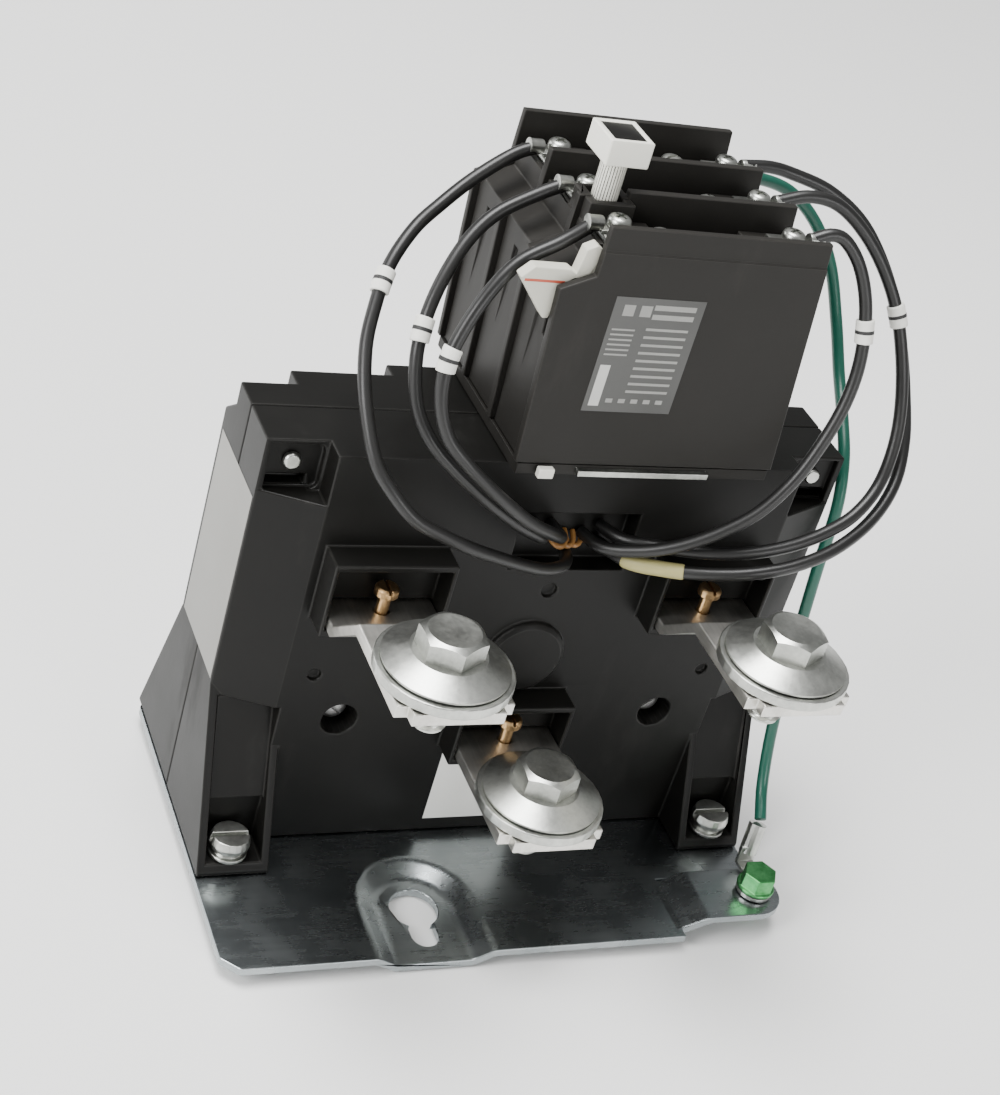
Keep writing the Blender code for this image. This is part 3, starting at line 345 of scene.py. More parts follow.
magnet_wire = metal("magnet_wire", (0.36, 0.12, 0.05), (0.52, 0.20, 0.09), 0.30, 0.12, (1, 1, 12))
green_dye = metal("green_dye", (0.04, 0.26, 0.07), (0.16, 0.52, 0.20), 0.22, 0.20)
print("metals ready")

# %% [markdown]
# ## Plastics, paper and insulation
# Soft vinyl has a sheen that breaks up along its length. The white parts are nylon, slightly yellow,
# and the labels are printed paper or film.


# %% Plastics
def plastic(name, dark, pale, rough, spread=0.12, grain=260):
    """A matt or glossy colour that varies softly between dark and pale."""
    finish = Finish(name)
    patch = finish.cloud(70, 3)
    fine = finish.cloud(grain * 4, 2)
    finish.set(
        base_color=finish.blend(patch * 0.75 + fine * 0.25, dark, pale),
        roughness=rough + spread * patch,
    )
    return finish.bumps(finish.cloud(grain, 2), 0.00004, 0.3).material


white_nylon = plastic("white_nylon", (0.80, 0.79, 0.70), (0.90, 0.89, 0.81), 0.34)
cream_flag = plastic("cream_flag", (0.52, 0.51, 0.43), (0.66, 0.65, 0.57), 0.42)
marker_white = plastic("marker_white", (0.76, 0.76, 0.70), (0.88, 0.87, 0.82), 0.40)
black_vinyl = plastic("black_vinyl", (0.0055, 0.0055, 0.0055), (0.0130, 0.0126, 0.0118), 0.32, 0.14, 320)
green_vinyl = plastic("green_vinyl", (0.004, 0.060, 0.040), (0.012, 0.115, 0.075), 0.28)
yellow_sleeve = plastic("yellow_sleeve", (0.27, 0.24, 0.09), (0.46, 0.42, 0.19), 0.40)
brown_vinyl = plastic("brown_vinyl", (0.22, 0.10, 0.03), (0.42, 0.21, 0.06), 0.34)
red_paint = plastic("red_paint", (0.40, 0.06, 0.03), (0.55, 0.11, 0.06), 0.45)
ink_black = plastic("ink_black", (0.015, 0.015, 0.015), (0.030, 0.030, 0.030), 0.50)
tan_nylon = plastic("tan_nylon", (0.42, 0.35, 0.22), (0.55, 0.47, 0.32), 0.45)
side_paper = plastic("side_paper", (0.235, 0.232, 0.215), (0.300, 0.296, 0.278), 0.60, 0.1, 700)
white_paper = plastic("white_paper", (0.78, 0.78, 0.74), (0.88, 0.88, 0.84), 0.50, 0.1, 700)
grey_film = plastic("grey_film", (0.060, 0.060, 0.058), (0.080, 0.080, 0.076), 0.40)
grey_print = plastic("grey_print", (0.24, 0.24, 0.23), (0.32, 0.32, 0.30), 0.45)
pale_print = plastic("pale_print", (0.50, 0.50, 0.48), (0.62, 0.62, 0.59), 0.45)
print("plastics ready")

# %% [markdown]
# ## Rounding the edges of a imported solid
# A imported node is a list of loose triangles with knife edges. A copy is merged, its flat areas are
# joined and cut again into fewer triangles, and a bevel rounds the edges. A weight on each edge tells
# the bevel where to work: the gentle folds of the pressed plate take a wide round while its cut edges
# stay crisp. Weighted normals keep the flat areas flat in smooth shading, and the copy then stands for
# the node.


# %% Rounded copies
def finish_mesh(piece, material, body):
    """Gives a piece its finish and its body."""
    piece.data.materials.clear()
    piece.data.materials.append(material)
    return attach(piece, body)


def mesh_from(work, name):
    """Turns a bmesh into a mesh and frees it."""
    mesh = bpy.data.meshes.new(name)
    work.to_mesh(mesh)
    work.free()
    return mesh


def apply_modifiers(piece):
    """Turns the evaluated shape into the piece's plain mesh."""
    shaped = piece.evaluated_get(bpy.context.evaluated_depsgraph_get())
    mesh = bpy.data.meshes.new_from_object(shaped)
    piece.modifiers.clear()
    piece.data = mesh


def smooth(piece, angle):
    """Smooth shading, with edges sharper than the angle kept hard."""
    piece.data.shade_smooth()
    piece.data.set_sharp_from_angle(angle=math.radians(angle))
    return piece


FLAT_BELOW, SHARP_ABOVE = 9, 50  # degrees
MERGE_WITHIN, FLAT_WITHIN = 2e-6, math.radians(0.6)


def edge_weight(edge, fold_weight):
    """How strongly an edge is rounded: not at all in a flat area, by the fold weight in a gentle fold."""
    if len(edge.link_faces) != 2:
        return 0.0
    turn = math.degrees(edge.calc_face_angle(0.0))
    if turn < FLAT_BELOW:
        return 0.0
    return 1.0 if turn > SHARP_ABOVE else fold_weight


def merged(name):
    """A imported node's triangles as one connected bmesh with few flat edges."""
    work = bmesh.new()
    work.from_mesh(nodes[name].data)
    bmesh.ops.remove_doubles(work, verts=work.verts, dist=MERGE_WITHIN)
    bmesh.ops.dissolve_limit(work, angle_limit=FLAT_WITHIN, verts=work.verts, edges=work.edges)
    wide = [f for f in work.faces if len(f.verts) > 4]
    bmesh.ops.triangulate(work, faces=wide, quad_method="BEAUTY", ngon_method="EAR_CLIP")
    return work


def rounded(name, width, materials, fold_weight=1.0, segments=2):
    """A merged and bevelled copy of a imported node, which stands for it."""
    work = merged(name)
    weights = work.edges.layers.float.new("bevel_weight_edge")
    for edge in work.edges:
        edge[weights] = edge_weight(edge, fold_weight)
    mesh = mesh_from(work, name + "_body")
    piece = new_object(name + "_body", mesh)
    for one in materials:
        mesh.materials.append(one)
    for polygon in mesh.polygons:
        polygon.material_index = 0
        polygon.use_smooth = True
    bevel = piece.modifiers.new("round", "BEVEL")
    bevel.limit_method = "WEIGHT"
    bevel.width = width
    bevel.segments = segments
    bevel.use_clamp_overlap = False
    # The bevel's faces take the last finish: for the mouldings a paler copy that is partly painted highlight.
    bevel.material = len(materials) - 1
    even = piece.modifiers.new("even", "WEIGHTED_NORMAL")
    even.weight = 100
    apply_modifiers(piece)
    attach(piece, nodes[name]["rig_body"])
    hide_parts(name)
    return piece


def named(*beginnings):
    """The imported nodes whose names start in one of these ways."""
    return [n for n in nodes if n.startswith(beginnings)]


BRACKET_FRONT_Y = -0.0243
# The last finish in each list goes on the bevel's faces; for the mouldings it is partly painted highlight.
for shell in ("front_housing", "rear_housing"):
    rounded(shell, 0.00045, [black_shell, shell_edge_wear_and_highlight], 0.3)
for slab in ("relay_slab_front", "relay_slab_middle", "relay_slab_rear", "relay_end_cover"):
    rounded(slab, 0.00030, [slab_black, slab_edge_wear_and_highlight])
for bar in named("front_strap", "rear_strap"):
    rounded(bar, 0.00035, [tinned_bar])
rounded("mounting_plate", 0.00030, [sheet_zinc], 4.0, 3)
rounded("reset_knob", 0.00040, [white_nylon], 1.0, 3)
rounded("trip_lever", 0.00030, [cream_flag])
rounded("retaining_slide", 0.00030, [white_nylon])
rounded("ground_ring", 0.00012, [bright_zinc])
rounded("ground_screw", 0.00030, [green_dye])
for screw in named("mount_screw"):
    rounded(screw, 0.00018, [bright_zinc])
for screw in named("cover_screw"):
    rounded(screw, 0.00015, [bright_zinc])
for screw in named("strap_screw"):
    rounded(screw, 0.00012, [screw_brass])
for washer in named("front_washer", "rear_washer"):
    rounded(washer, 0.00030, [bright_zinc])
bracket = rounded("relay_bracket", 0.00015, [slab_black, bright_zinc])
for polygon in bracket.data.polygons:
    polygon.material_index = 1 if polygon.center.y < BRACKET_FRONT_Y else 0
print("rounded copies made")

# %% [markdown]
# ## Parts inside the shells
# The magnet, the coil, the carrier and the contacts can be seen only when the shells are off, and
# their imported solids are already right, so they keep their shape and take a finish.


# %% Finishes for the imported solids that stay
def repaint(prefix, material):
    """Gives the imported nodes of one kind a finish."""
    for name in named(prefix):
        nodes[name].data.materials.clear()
        nodes[name].data.materials.append(material)


repaint("magnet_core", plain_steel)
repaint("armature", plain_steel)
repaint("coil_bobbin", tan_nylon)
repaint("coil_winding", magnet_wire)
repaint("contact_carrier", black_shell)
repaint("moving_contact", contact_copper)
print("repainted:", len(named("magnet", "armature", "coil", "contact_carrier", "moving")))

# %% [markdown]
# ## Stacks of rings
# Bolts, screws, ferrules and sleeves are all stacks of rings round an axis. One function joins any
# stack into a closed mesh. A hexagon is a ring too: its radius only depends on the angle, and the
# chamfer on a bolt head comes from letting the height depend on that radius.


# %% Ring stacks
def ring_stack(rings, points, faces):
    """Joins rings of the same count, closes both ends and adds them to points and faces."""
    start, count = len(points), len(rings[0])
    for ring in rings:
        points.extend(ring)
    for k in range(len(rings) - 1):
        for i in range(count):
            j = (i + 1) % count
            a, b = start + k * count, start + (k + 1) * count
            faces.append((a + i, a + j, b + j, b + i))
    last = start + (len(rings) - 1) * count
    faces.append(tuple(start + i for i in reversed(range(count))))
    faces.append(tuple(last + i for i in range(count)))
    return points, faces


def circle(radius, z, count):
    """A ring of points round the Z axis."""
    turn = 2 * math.pi / count
    return [Vector((radius * math.cos(turn * i), radius * math.sin(turn * i), z)) for i in range(count)]


def closed(name, work, material, body, angle=32):
    """Turns a bmesh into a finished piece with outward faces and smooth shading."""
    bmesh.ops.recalc_face_normals(work, faces=work.faces)
    piece = new_object(name, mesh_from(work, name))
    smooth(piece, angle)
    return finish_mesh(piece, material, body)

# %% [markdown]
# ## Terminal bolts
# Each terminal has an M8 bolt with a captive conical washer. The head is a hexagon with a rounded
# chamfer and a shallow dish on top. The thread is one helical groove: the radius of each point
# follows from its height and its angle together.

# %% Bolt sizes
BOLT_R, HEX_AF, HEX_HIGH = 0.0040, 0.0130, 0.0053
CONE_R, CONE_TOP_R, CONE_EDGE, CONE_HIGH = 0.0138, 0.0080, 0.0006, 0.0033
THREAD_PITCH, THREAD_DEPTH, BOLT_LONG = 0.00125, 0.00068, 0.0160
LEAD_IN, LEAD_IN_LONG = 0.0006, 0.0008
HEX_CHAMFER = 0.55
BOLT_POINTS = 72


def hexagon(flats, z, flat_r=None):
    """A hexagonal ring. With flat_r its corners drop below z, where the chamfer starts."""
    ring = []
    for i in range(BOLT_POINTS):
        angle = 2 * math.pi * i / BOLT_POINTS
        from_flat = (angle + math.pi / 6) % (math.pi / 3) - math.pi / 6
        radius = flats / 2 / math.cos(from_flat)
        high = z - HEX_CHAMFER * max(0.0, radius - flat_r) if flat_r else z
        ring.append(Vector((radius * math.cos(angle), radius * math.sin(angle), high)))
    return ring


def thread_rings(radius, low, high, pitch, depth, count=32, steps=6):
    """Rings of a threaded shank, with the groove fading out at both ends."""
    rings = []
    total = int((high - low) / pitch * steps)
    for k in range(total + 1):
        z = low + (high - low) * k / total
        fade = min(1.0, (z - low) / pitch + 0.15, (high - z) / pitch)
        ring = []
        for i in range(count):
            phase = (z / pitch - i / count) % 1.0
            groove = abs(2 * phase - 1)
            cut = depth * max(0.0, fade) * groove + LEAD_IN * max(0.0, 1 - (z - low) / LEAD_IN_LONG)
            turn = 2 * math.pi * i / count
            ring.append(Vector(((radius - cut) * math.cos(turn), (radius - cut) * math.sin(turn), z)))
        rings.append(ring)
    return rings


def terminal_bolt(name, x, y, seat):
    """Head, conical washer and threaded shank, all about the bolt's own axis."""
    base = seat + CONE_HIGH
    top = base + HEX_HIGH - 0.0003
    dish = HEX_AF / 2 - 0.0008
    turned = [
        (BOLT_R, seat - 0.0020),
        (BOLT_R, seat + 0.00002),
        (CONE_R - 0.0001, seat + 0.00002),
        (CONE_R, seat + 0.00015),
        (CONE_R, seat + CONE_EDGE),
        (CONE_R - 0.0002, seat + CONE_EDGE + 0.0001),
        (CONE_TOP_R + 0.0012, seat + CONE_HIGH - 0.0006),
        (CONE_TOP_R + 0.0003, seat + CONE_HIGH - 0.0001),
    ]
    dished = [(dish, top), (dish - 0.0006, top), (dish - 0.0012, top - 0.00006), (0.0010, top - 0.00008)]
    head = [circle(r, z, BOLT_POINTS) for r, z in turned]
    head += [hexagon(HEX_AF, base - 0.0001), hexagon(HEX_AF, top, dish)]
    head += [circle(r, z, BOLT_POINTS) for r, z in dished]
    points, faces = ring_stack(head, [], [])
    low = seat - BOLT_LONG
    shank = thread_rings(BOLT_R - 0.00003, low, seat - 0.0012, THREAD_PITCH, THREAD_DEPTH)
    ring_stack(shank, points, faces)
    place = Vector((x, y, 0))
    work = bmesh.new()
    work.from_mesh(mesh_of(name, [place + p for p in points], faces))
    piece = closed(name + "_made", work, bright_zinc, "base", 28)
    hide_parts(name)


for name in named("front_bolt", "rear_bolt"):
    low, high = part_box(name)
    middle = (low + high) / 2
    terminal_bolt(name, middle.x, middle.y, low.z + BOLT_LONG)
print("terminal bolts:", len(named("front_bolt", "rear_bolt")))

# %% [markdown]
# ## Small turned and cut pieces
# Screws, clamps, ferrules and labels are a few boxes and turned solids in one bmesh. Two helpers add to
# it. A driver slot or cross is cut by a Boolean, whose edges stay crisp.


# %% Building small pieces
def block(work, low, high, edge=0.0002):
    """Adds a box with rounded edges to a bmesh."""
    low, high = Vector(low), Vector(high)
    place = Matrix.Translation((low + high) / 2) @ Matrix.Diagonal((*(high - low), 1.0))
    made = bmesh.ops.create_cube(work, size=1.0, matrix=place)
    if edge:
        edges = list({e for v in made["verts"] for e in v.link_edges})
        bmesh.ops.bevel(work, geom=edges, offset=edge, segments=2, profile=0.5, affect="EDGES")


def skin(work, loops):
    """Joins loops of vertices and closes both ends."""
    for low, high in zip(loops, loops[1:]):
        for i in range(len(low)):
            work.faces.new((low[i - 1], low[i], high[i], high[i - 1]))
    work.faces.new(list(reversed(loops[0])))
    work.faces.new(loops[-1])


def stack(work, profile, place=None, count=40):
    """Adds a turned solid, given as radius and height pairs, to a bmesh."""
    place = place or Matrix()
    skin(work, [[work.verts.new(place @ p) for p in circle(r, z, count)] for r, z in profile])


def carve(piece, work):
    """Cuts the solids in a bmesh out of a piece."""
    cutter = new_object("cutter", mesh_from(work, "cutter"))
    cut = piece.modifiers.new("cut", "BOOLEAN")
    cut.object = cutter
    cut.use_self = True
    apply_modifiers(piece)
    bpy.data.objects.remove(cutter)
    return smooth(piece, 30)


def driver_cut(width, arm, low, high, cross, spin):
    """The cutter of a straight slot or a cross, centred on the Z axis."""
    work = bmesh.new()
    block(work, (-arm, -width, low), (arm, width, high), 0)
    if cross:
        block(work, (-width, -arm, low), (width, arm, high + 0.0001), 0)
    bmesh.ops.rotate(work, verts=work.verts, matrix=Matrix.Rotation(spin, 3, "Z"))
    return work

# %% [markdown]
# ## Growing repeated pieces with Geometry Nodes
# The relay carries the same terminal six times, the springs are one helix in several sizes, and the
# label is rows of dashes. Each of these is a small tree with named inputs. A class adds its nodes in
# the way the materials do, and the result is kept as a plain mesh.


# %% Geometry Nodes helpers
class Grower:
    """A Geometry Nodes tree under construction."""

    add = Finish.add

    def __init__(self, name):
        self.tree = bpy.data.node_groups.new(name, "GeometryNodeTree")
        self.tree.interface.new_socket("Geometry", in_out="OUTPUT", socket_type="NodeSocketGeometry")
        self.entry = self.tree.nodes.new("NodeGroupInput")

    def ask(self, name, kind="Float"):
        """Adds a named input and returns it."""
        self.tree.interface.new_socket(name, in_out="INPUT", socket_type="NodeSocket" + kind)
        return Wire(self.tree, self.entry.outputs[name])

    def close(self, shape):
        """Makes the instances real, gives them their finish and ends the tree."""
        real = self.add("GeometryNodeRealizeInstances", {}, {"Geometry": shape})
        finish = self.ask("Finish", "Material")
        done = self.add("GeometryNodeSetMaterial", {}, {"Geometry": real, "Material": finish})
        leave = self.tree.nodes.new("NodeGroupOutput")
        self.tree.links.new(done.socket, leave.inputs[0])
        return self.tree


def grown(name, tree, values, material, body):
    """Runs a tree once with its inputs and keeps what it made."""
    piece = new_object(name, bpy.data.meshes.new(name))
    live = piece.modifiers.new("grow", "NODES")
    live.node_group = tree
    for item in tree.interface.items_tree:
        if item.in_out == "INPUT":
            live[item.identifier] = material if item.name == "Finish" else values[item.name]
    apply_modifiers(piece)
    smooth(piece, 32)
    return finish_mesh(piece, material, body)


def row_tree():
    """The same object along a line, all turned the same way."""
    grow = Grower("row_of_pieces")
    line = grow.add("GeometryNodeMeshLine", {}, {
        "Count": grow.ask("Count", "Int"),
        "Start Location": grow.ask("Start", "Vector"),
        "Offset": grow.ask("Step", "Vector"),
    })
    pattern = grow.add("GeometryNodeObjectInfo", {}, {"Object": grow.ask("Pattern", "Object")}, "Geometry")
    return grow.close(grow.add("GeometryNodeInstanceOnPoints", {}, {
        "Points": line, "Instance": pattern, "Rotation": grow.ask("Turn", "Vector"),
    }))


def spring_tree():
    """A round wire along a helix, with its lowest point at a given height."""
    grow = Grower("coil_spring")
    helix = grow.add("GeometryNodeCurveSpiral", {}, {
        "Resolution": 28,
        "Rotations": grow.ask("Turns"),
        "Start Radius": grow.ask("Radius"),
        "End Radius": grow.ask("End radius"),
        "Height": grow.ask("Height"),
    })
    wire = grow.add("GeometryNodeCurvePrimitiveCircle", {}, {"Resolution": 10, "Radius": grow.ask("Wire")})
    tube = grow.add("GeometryNodeCurveToMesh", {}, {"Curve": helix, "Profile Curve": wire, "Fill Caps": True})
    return grow.close(grow.add("GeometryNodeTransform", {}, {
        "Geometry": tube, "Translation": grow.ask("Place", "Vector"),
    }))


def dash_tree():
    """Small flat bars along a line."""
    grow = Grower("printed_bars")
    line = grow.add("GeometryNodeMeshLine", {}, {
        "Count": grow.ask("Count", "Int"),
        "Start Location": grow.ask("Start", "Vector"),
        "Offset": grow.ask("Step", "Vector"),
    })
    bar = grow.add("GeometryNodeMeshCube", {}, {"Size": grow.ask("Size", "Vector")})
    return grow.close(grow.add("GeometryNodeInstanceOnPoints", {}, {"Points": line, "Instance": bar}))


ROWS, SPRINGS, BARS = row_tree(), spring_tree(), dash_tree()
print("trees:", ROWS.name, SPRINGS.name, BARS.name)

# %% [markdown]
# ## Springs
# Two return springs push the carrier up, and a small spring presses each moving contact. They are
# open helices, one wire wide inside the imported tube that holds their place.

# %% Coil springs
RETURN_WIRE, RETURN_TURNS = 0.00045, 6.0
CONTACT_WIRE, CONTACT_TURNS = 0.00040, 4.0
spring_names = named("return_spring", "contact_spring")
for name in spring_names:
    low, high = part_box(name)
    returning = name.startswith("return")
    wire = RETURN_WIRE if returning else CONTACT_WIRE
    middle = (low + high) / 2
    radius = (high.x - low.x) / 2 - wire
    made = grown(name + "_wire", SPRINGS, {
        "Turns": RETURN_TURNS if returning else CONTACT_TURNS,
        "Radius": radius,
        "End radius": radius,
        "Height": high.z - low.z - 2 * wire,
        "Wire": wire,
        "Place": (middle.x, middle.y, low.z + wire),
    }, spring_steel, nodes[name]["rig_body"])
    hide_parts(name)
    if returning:
        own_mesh(made)
    else:
        joint = "bridge_" + name.rsplit("_", 1)[1] + "_slide"
        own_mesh(made)
print("springs:", len(spring_names))

# %% [markdown]
# ## Relay terminals
# Each slab of the relay has a clamp screw on either side. A terminal is one pattern: a clamp plate, a
# pan head screw with a cross, and the crimped ferrule of its lead. A row of three is grown on each
# side, the left row turned about.

# %% Terminal pattern
SEAT = 0.1630
CLAMP_X = (-0.0075, 0.0345)
CLAMP_FRONT_Y, SLAB_STEP = -0.0149, 0.0175


def pan_head(radius, low, high):
    """Radius and height pairs of a pan head."""
    rise = high - low
    return [
        (radius * 0.50, low - 0.0020), (radius * 0.50, low), (radius * 0.94, low),
        (radius, low + 0.10 * rise), (radius, low + 0.50 * rise), (radius * 0.96, low + 0.66 * rise),
        (radius * 0.86, low + 0.82 * rise), (radius * 0.66, low + 0.94 * rise),
        (radius * 0.40, low + 0.99 * rise), (radius * 0.10, high),
    ]


def bare(name, work):
    """A pattern object that only the trees use."""
    bmesh.ops.recalc_face_normals(work, faces=work.faces)
    return new_object(name, mesh_from(work, name))


work = bmesh.new()
stack(work, pan_head(0.0026, SEAT + 0.0023, SEAT + 0.0048))
cross = driver_cut(0.00035, 0.0015, SEAT + 0.0036, SEAT + 0.006, True, 0.5)
clamp_screw = carve(bare("clamp_screw", work), cross)
work = bmesh.new()
block(work, (-0.0042, -0.0045, SEAT + 0.0001), (0.0042, 0.0045, SEAT + 0.0015), 0.0003)
block(work, (-0.0010, -0.0024, SEAT + 0.0016), (0.0046, 0.0024, SEAT + 0.0022), 0.0001)
along = Matrix.Translation((0, 0, SEAT + 0.0027)) @ Matrix.Rotation(math.radians(90), 4, "Y")
stack(work, [
    (0.0010, 0.0038), (0.0016, 0.0039), (0.0017, 0.0042),
    (0.0017, 0.0066), (0.0018, 0.0072), (0.0015, 0.0073),
], along, 24)
clamp = bare("clamp", work)
for side, x, turn in (("left", CLAMP_X[0], math.pi), ("right", CLAMP_X[1], 0.0)):
    for kind, pattern in (("clamp_screws", clamp_screw), ("clamps", clamp)):
        grown(f"{kind}_{side}", ROWS, {
            "Count": 3,
            "Start": (x, CLAMP_FRONT_Y, 0),
            "Step": (0, SLAB_STEP, 0),
            "Pattern": pattern,
            "Turn": (0, 0, turn),
        }, bright_zinc, "base")
for pattern in (clamp_screw, clamp):
    bpy.data.objects.remove(pattern)
print("relay terminals on two sides")

# %% [markdown]
# ## Overload heaters
# Between the terminals each slab has a heater well. A domed screw holds the end of each heater strip
# there, and one more stands beside the well of the front slab.

# %% Heater screws
HEATER_SCREWS = [(0.0203, 0.0192), (0.0206, -0.0004), (0.0203, -0.0194), (0.0010, -0.0185)]
HEATER_SEAT, DOME_R, DOME_HIGH, WELL_FLOOR = 0.1632, 0.0027, 0.0028, 0.1542
WELLS_BEYOND_X = 0.003
for number, (x, y) in enumerate(HEATER_SCREWS):
    work = bmesh.new()
    foot = HEATER_SEAT + 0.0010
    stack(work, pan_head(DOME_R, foot, foot + DOME_HIGH))
    screw = closed(f"heater_screw_{number}", work, bright_zinc, "base")
    slot = driver_cut(0.00035, 0.0040, HEATER_SEAT + 0.0031, HEATER_SEAT + 0.006, False, 0.4 + number)
    carve(screw, slot)
    screw.data.transform(Matrix.Translation((x, y, 0)))
    work = bmesh.new()
    block(work, (x - 0.0048, y - 0.0034, HEATER_SEAT), (x + 0.0040, y + 0.0034, HEATER_SEAT + 0.0009))
    if x > WELLS_BEYOND_X:
        low = (x - 0.0048, y - 0.0028, WELL_FLOOR)
        block(work, low, (x - 0.0038, y + 0.0028, HEATER_SEAT + 0.0005))
    closed(f"heater_strip_{number}", work, tinned_bar, "base")
print("heater screws:", len(HEATER_SCREWS))

# %% [markdown]
# ## Leads
# Six black leads run from the relay's terminals down into the cable window of the front shell, and a
# green one runs down the right side to the ground ring. They are stiff enough to stand in free arcs.
# Each follows a smooth curve through a few points, and its length is what that curve measures.

# %% Lead routes
LEAD_R = 0.0015
LEAD_ROUTES = {
    "lead_left_rear": [
        (-0.0125, 0.0201, 0.1656), (-0.018, 0.0195, 0.1635), (-0.027, 0.0165, 0.1585),
        (-0.035, 0.0125, 0.1535), (-0.0415, 0.008, 0.1495), (-0.0475, 0.002, 0.1435),
        (-0.051, -0.004, 0.1365), (-0.053, -0.0095, 0.13), (-0.0534, -0.017, 0.122),
        (-0.0516, -0.025, 0.113), (-0.048, -0.0295, 0.108), (-0.0425, -0.0325, 0.103),
        (-0.035, -0.0335, 0.0995), (-0.028, -0.0335, 0.0965), (-0.02, -0.032, 0.093),
        (-0.013, -0.03, 0.0898), (-0.006, -0.0275, 0.087), (0.0, -0.024, 0.0854),
        (0.003, -0.0195, 0.0846), (0.0038, -0.015, 0.0844),
    ],
    "lead_left_middle": [
        (-0.0125, 0.0026, 0.1656), (-0.019, 0.0023, 0.1625), (-0.0275, 0.0005, 0.1583),
        (-0.034, -0.003, 0.1533), (-0.0395, -0.008, 0.1465), (-0.043, -0.0125, 0.1393),
        (-0.0445, -0.0165, 0.132), (-0.0435, -0.021, 0.1235), (-0.04, -0.025, 0.1175),
        (-0.0345, -0.0275, 0.1125), (-0.0285, -0.029, 0.108), (-0.022, -0.0295, 0.1035),
        (-0.0155, -0.0285, 0.099), (-0.0095, -0.026, 0.095), (-0.0062, -0.022, 0.092),
        (-0.0053, -0.015, 0.0906),
    ],
    "lead_left_front": [
        (-0.0125, -0.0145, 0.1656), (-0.019, -0.0149, 0.1608), (-0.028, -0.0164, 0.156),
        (-0.0345, -0.0194, 0.1495), (-0.0395, -0.0225, 0.141), (-0.0414, -0.0247, 0.134),
        (-0.041, -0.0268, 0.127), (-0.0383, -0.0288, 0.1208), (-0.0335, -0.0308, 0.116),
        (-0.028, -0.032, 0.1115), (-0.022, -0.0326, 0.107), (-0.0155, -0.0318, 0.1023),
        (-0.009, -0.0295, 0.0983), (-0.0042, -0.026, 0.0948), (-0.0016, -0.0215, 0.092),
        (-0.001, -0.015, 0.0906),
    ],
    "lead_right_rear": [
        (0.0395, 0.0201, 0.166), (0.046, 0.0201, 0.1663), (0.052, 0.0195, 0.1655),
        (0.0615, 0.017, 0.1633), (0.07, 0.013, 0.1585), (0.076, 0.008, 0.1513), (0.0798, 0.001, 0.1425),
        (0.082, -0.0045, 0.134), (0.083, -0.01, 0.126), (0.0825, -0.017, 0.1175), (0.079, -0.024, 0.11),
        (0.0715, -0.0305, 0.1042), (0.061, -0.0358, 0.0998), (0.05, -0.0383, 0.0965),
        (0.0395, -0.0378, 0.0938), (0.03, -0.0343, 0.091), (0.022, -0.0295, 0.0888),
        (0.0155, -0.0242, 0.0872), (0.0115, -0.015, 0.0863),
    ],
    "lead_right_middle": [
        (0.0395, 0.0026, 0.166), (0.047, 0.0024, 0.168), (0.0545, 0.0012, 0.167),
        (0.0625, -0.0013, 0.1615), (0.0693, -0.005, 0.1535), (0.074, -0.009, 0.1445),
        (0.077, -0.0145, 0.1325), (0.0768, -0.0205, 0.1215), (0.073, -0.0263, 0.112),
        (0.066, -0.031, 0.106), (0.0575, -0.0335, 0.102), (0.048, -0.0345, 0.0988),
        (0.038, -0.0333, 0.096), (0.0285, -0.0298, 0.0938), (0.0205, -0.0255, 0.0923),
        (0.0145, -0.0215, 0.0912), (0.0113, -0.015, 0.0906),
    ],
    "lead_right_front": [
        (0.0395, -0.0149, 0.166), (0.0435, -0.0152, 0.1676), (0.047, -0.016, 0.1668),
        (0.051, -0.018, 0.1625), (0.054, -0.0203, 0.156), (0.0555, -0.0228, 0.1485),
        (0.0557, -0.0252, 0.1405), (0.054, -0.0276, 0.1325), (0.0505, -0.0298, 0.124),
        (0.0455, -0.0317, 0.115), (0.0385, -0.033, 0.107), (0.0305, -0.0325, 0.1008),
        (0.023, -0.0305, 0.0958), (0.016, -0.027, 0.0919), (0.0098, -0.022, 0.0892),
        (0.0072, -0.015, 0.0886),
    ],
    "ground_lead": [
        (0.0403, 0.0242, 0.1605), (0.048, 0.026, 0.1606), (0.058, 0.0265, 0.1578),
        (0.067, 0.0255, 0.151), (0.0735, 0.0225, 0.1415), (0.077, 0.017, 0.1295),
        (0.0775, 0.009, 0.1195), (0.076, -0.001, 0.1125), (0.0746, -0.009, 0.106),
        (0.074, -0.014, 0.096), (0.0738, -0.016, 0.081), (0.0738, -0.018, 0.067),
        (0.0738, -0.0205, 0.05), (0.0738, -0.024, 0.034), (0.073, -0.0295, 0.022),
        (0.071, -0.0365, 0.0164),
    ],
}


def smooth_route(points, spacing):
    """Points about one spacing apart on a smooth curve through the route's own points."""
    ends = [points[0] * 2 - points[1]] + points + [points[-1] * 2 - points[-2]]
    fine = []
    for a, b, c, d in zip(ends, ends[1:], ends[2:], ends[3:]):
        for k in range(24):
            t = k / 24
            curve = (2 * a - 5 * b + 4 * c - d) * t * t + (3 * b - a - 3 * c + d) * t * t * t
            fine.append(0.5 * (2 * b + (c - a) * t + curve))
    fine.append(points[-1])
    along = [0.0]
    for a, b in zip(fine, fine[1:]):
        along.append(along[-1] + (b - a).length)
    count = max(2, round(along[-1] / spacing))
    route, i = [], 0
    for k in range(count + 1):
        want = along[-1] * k / count
        while i < len(fine) - 2 and along[i + 1] < want:
            i += 1
        share = (want - along[i]) / (along[i + 1] - along[i])
        route.append(fine[i].lerp(fine[i + 1], min(1.0, share)))
    return route


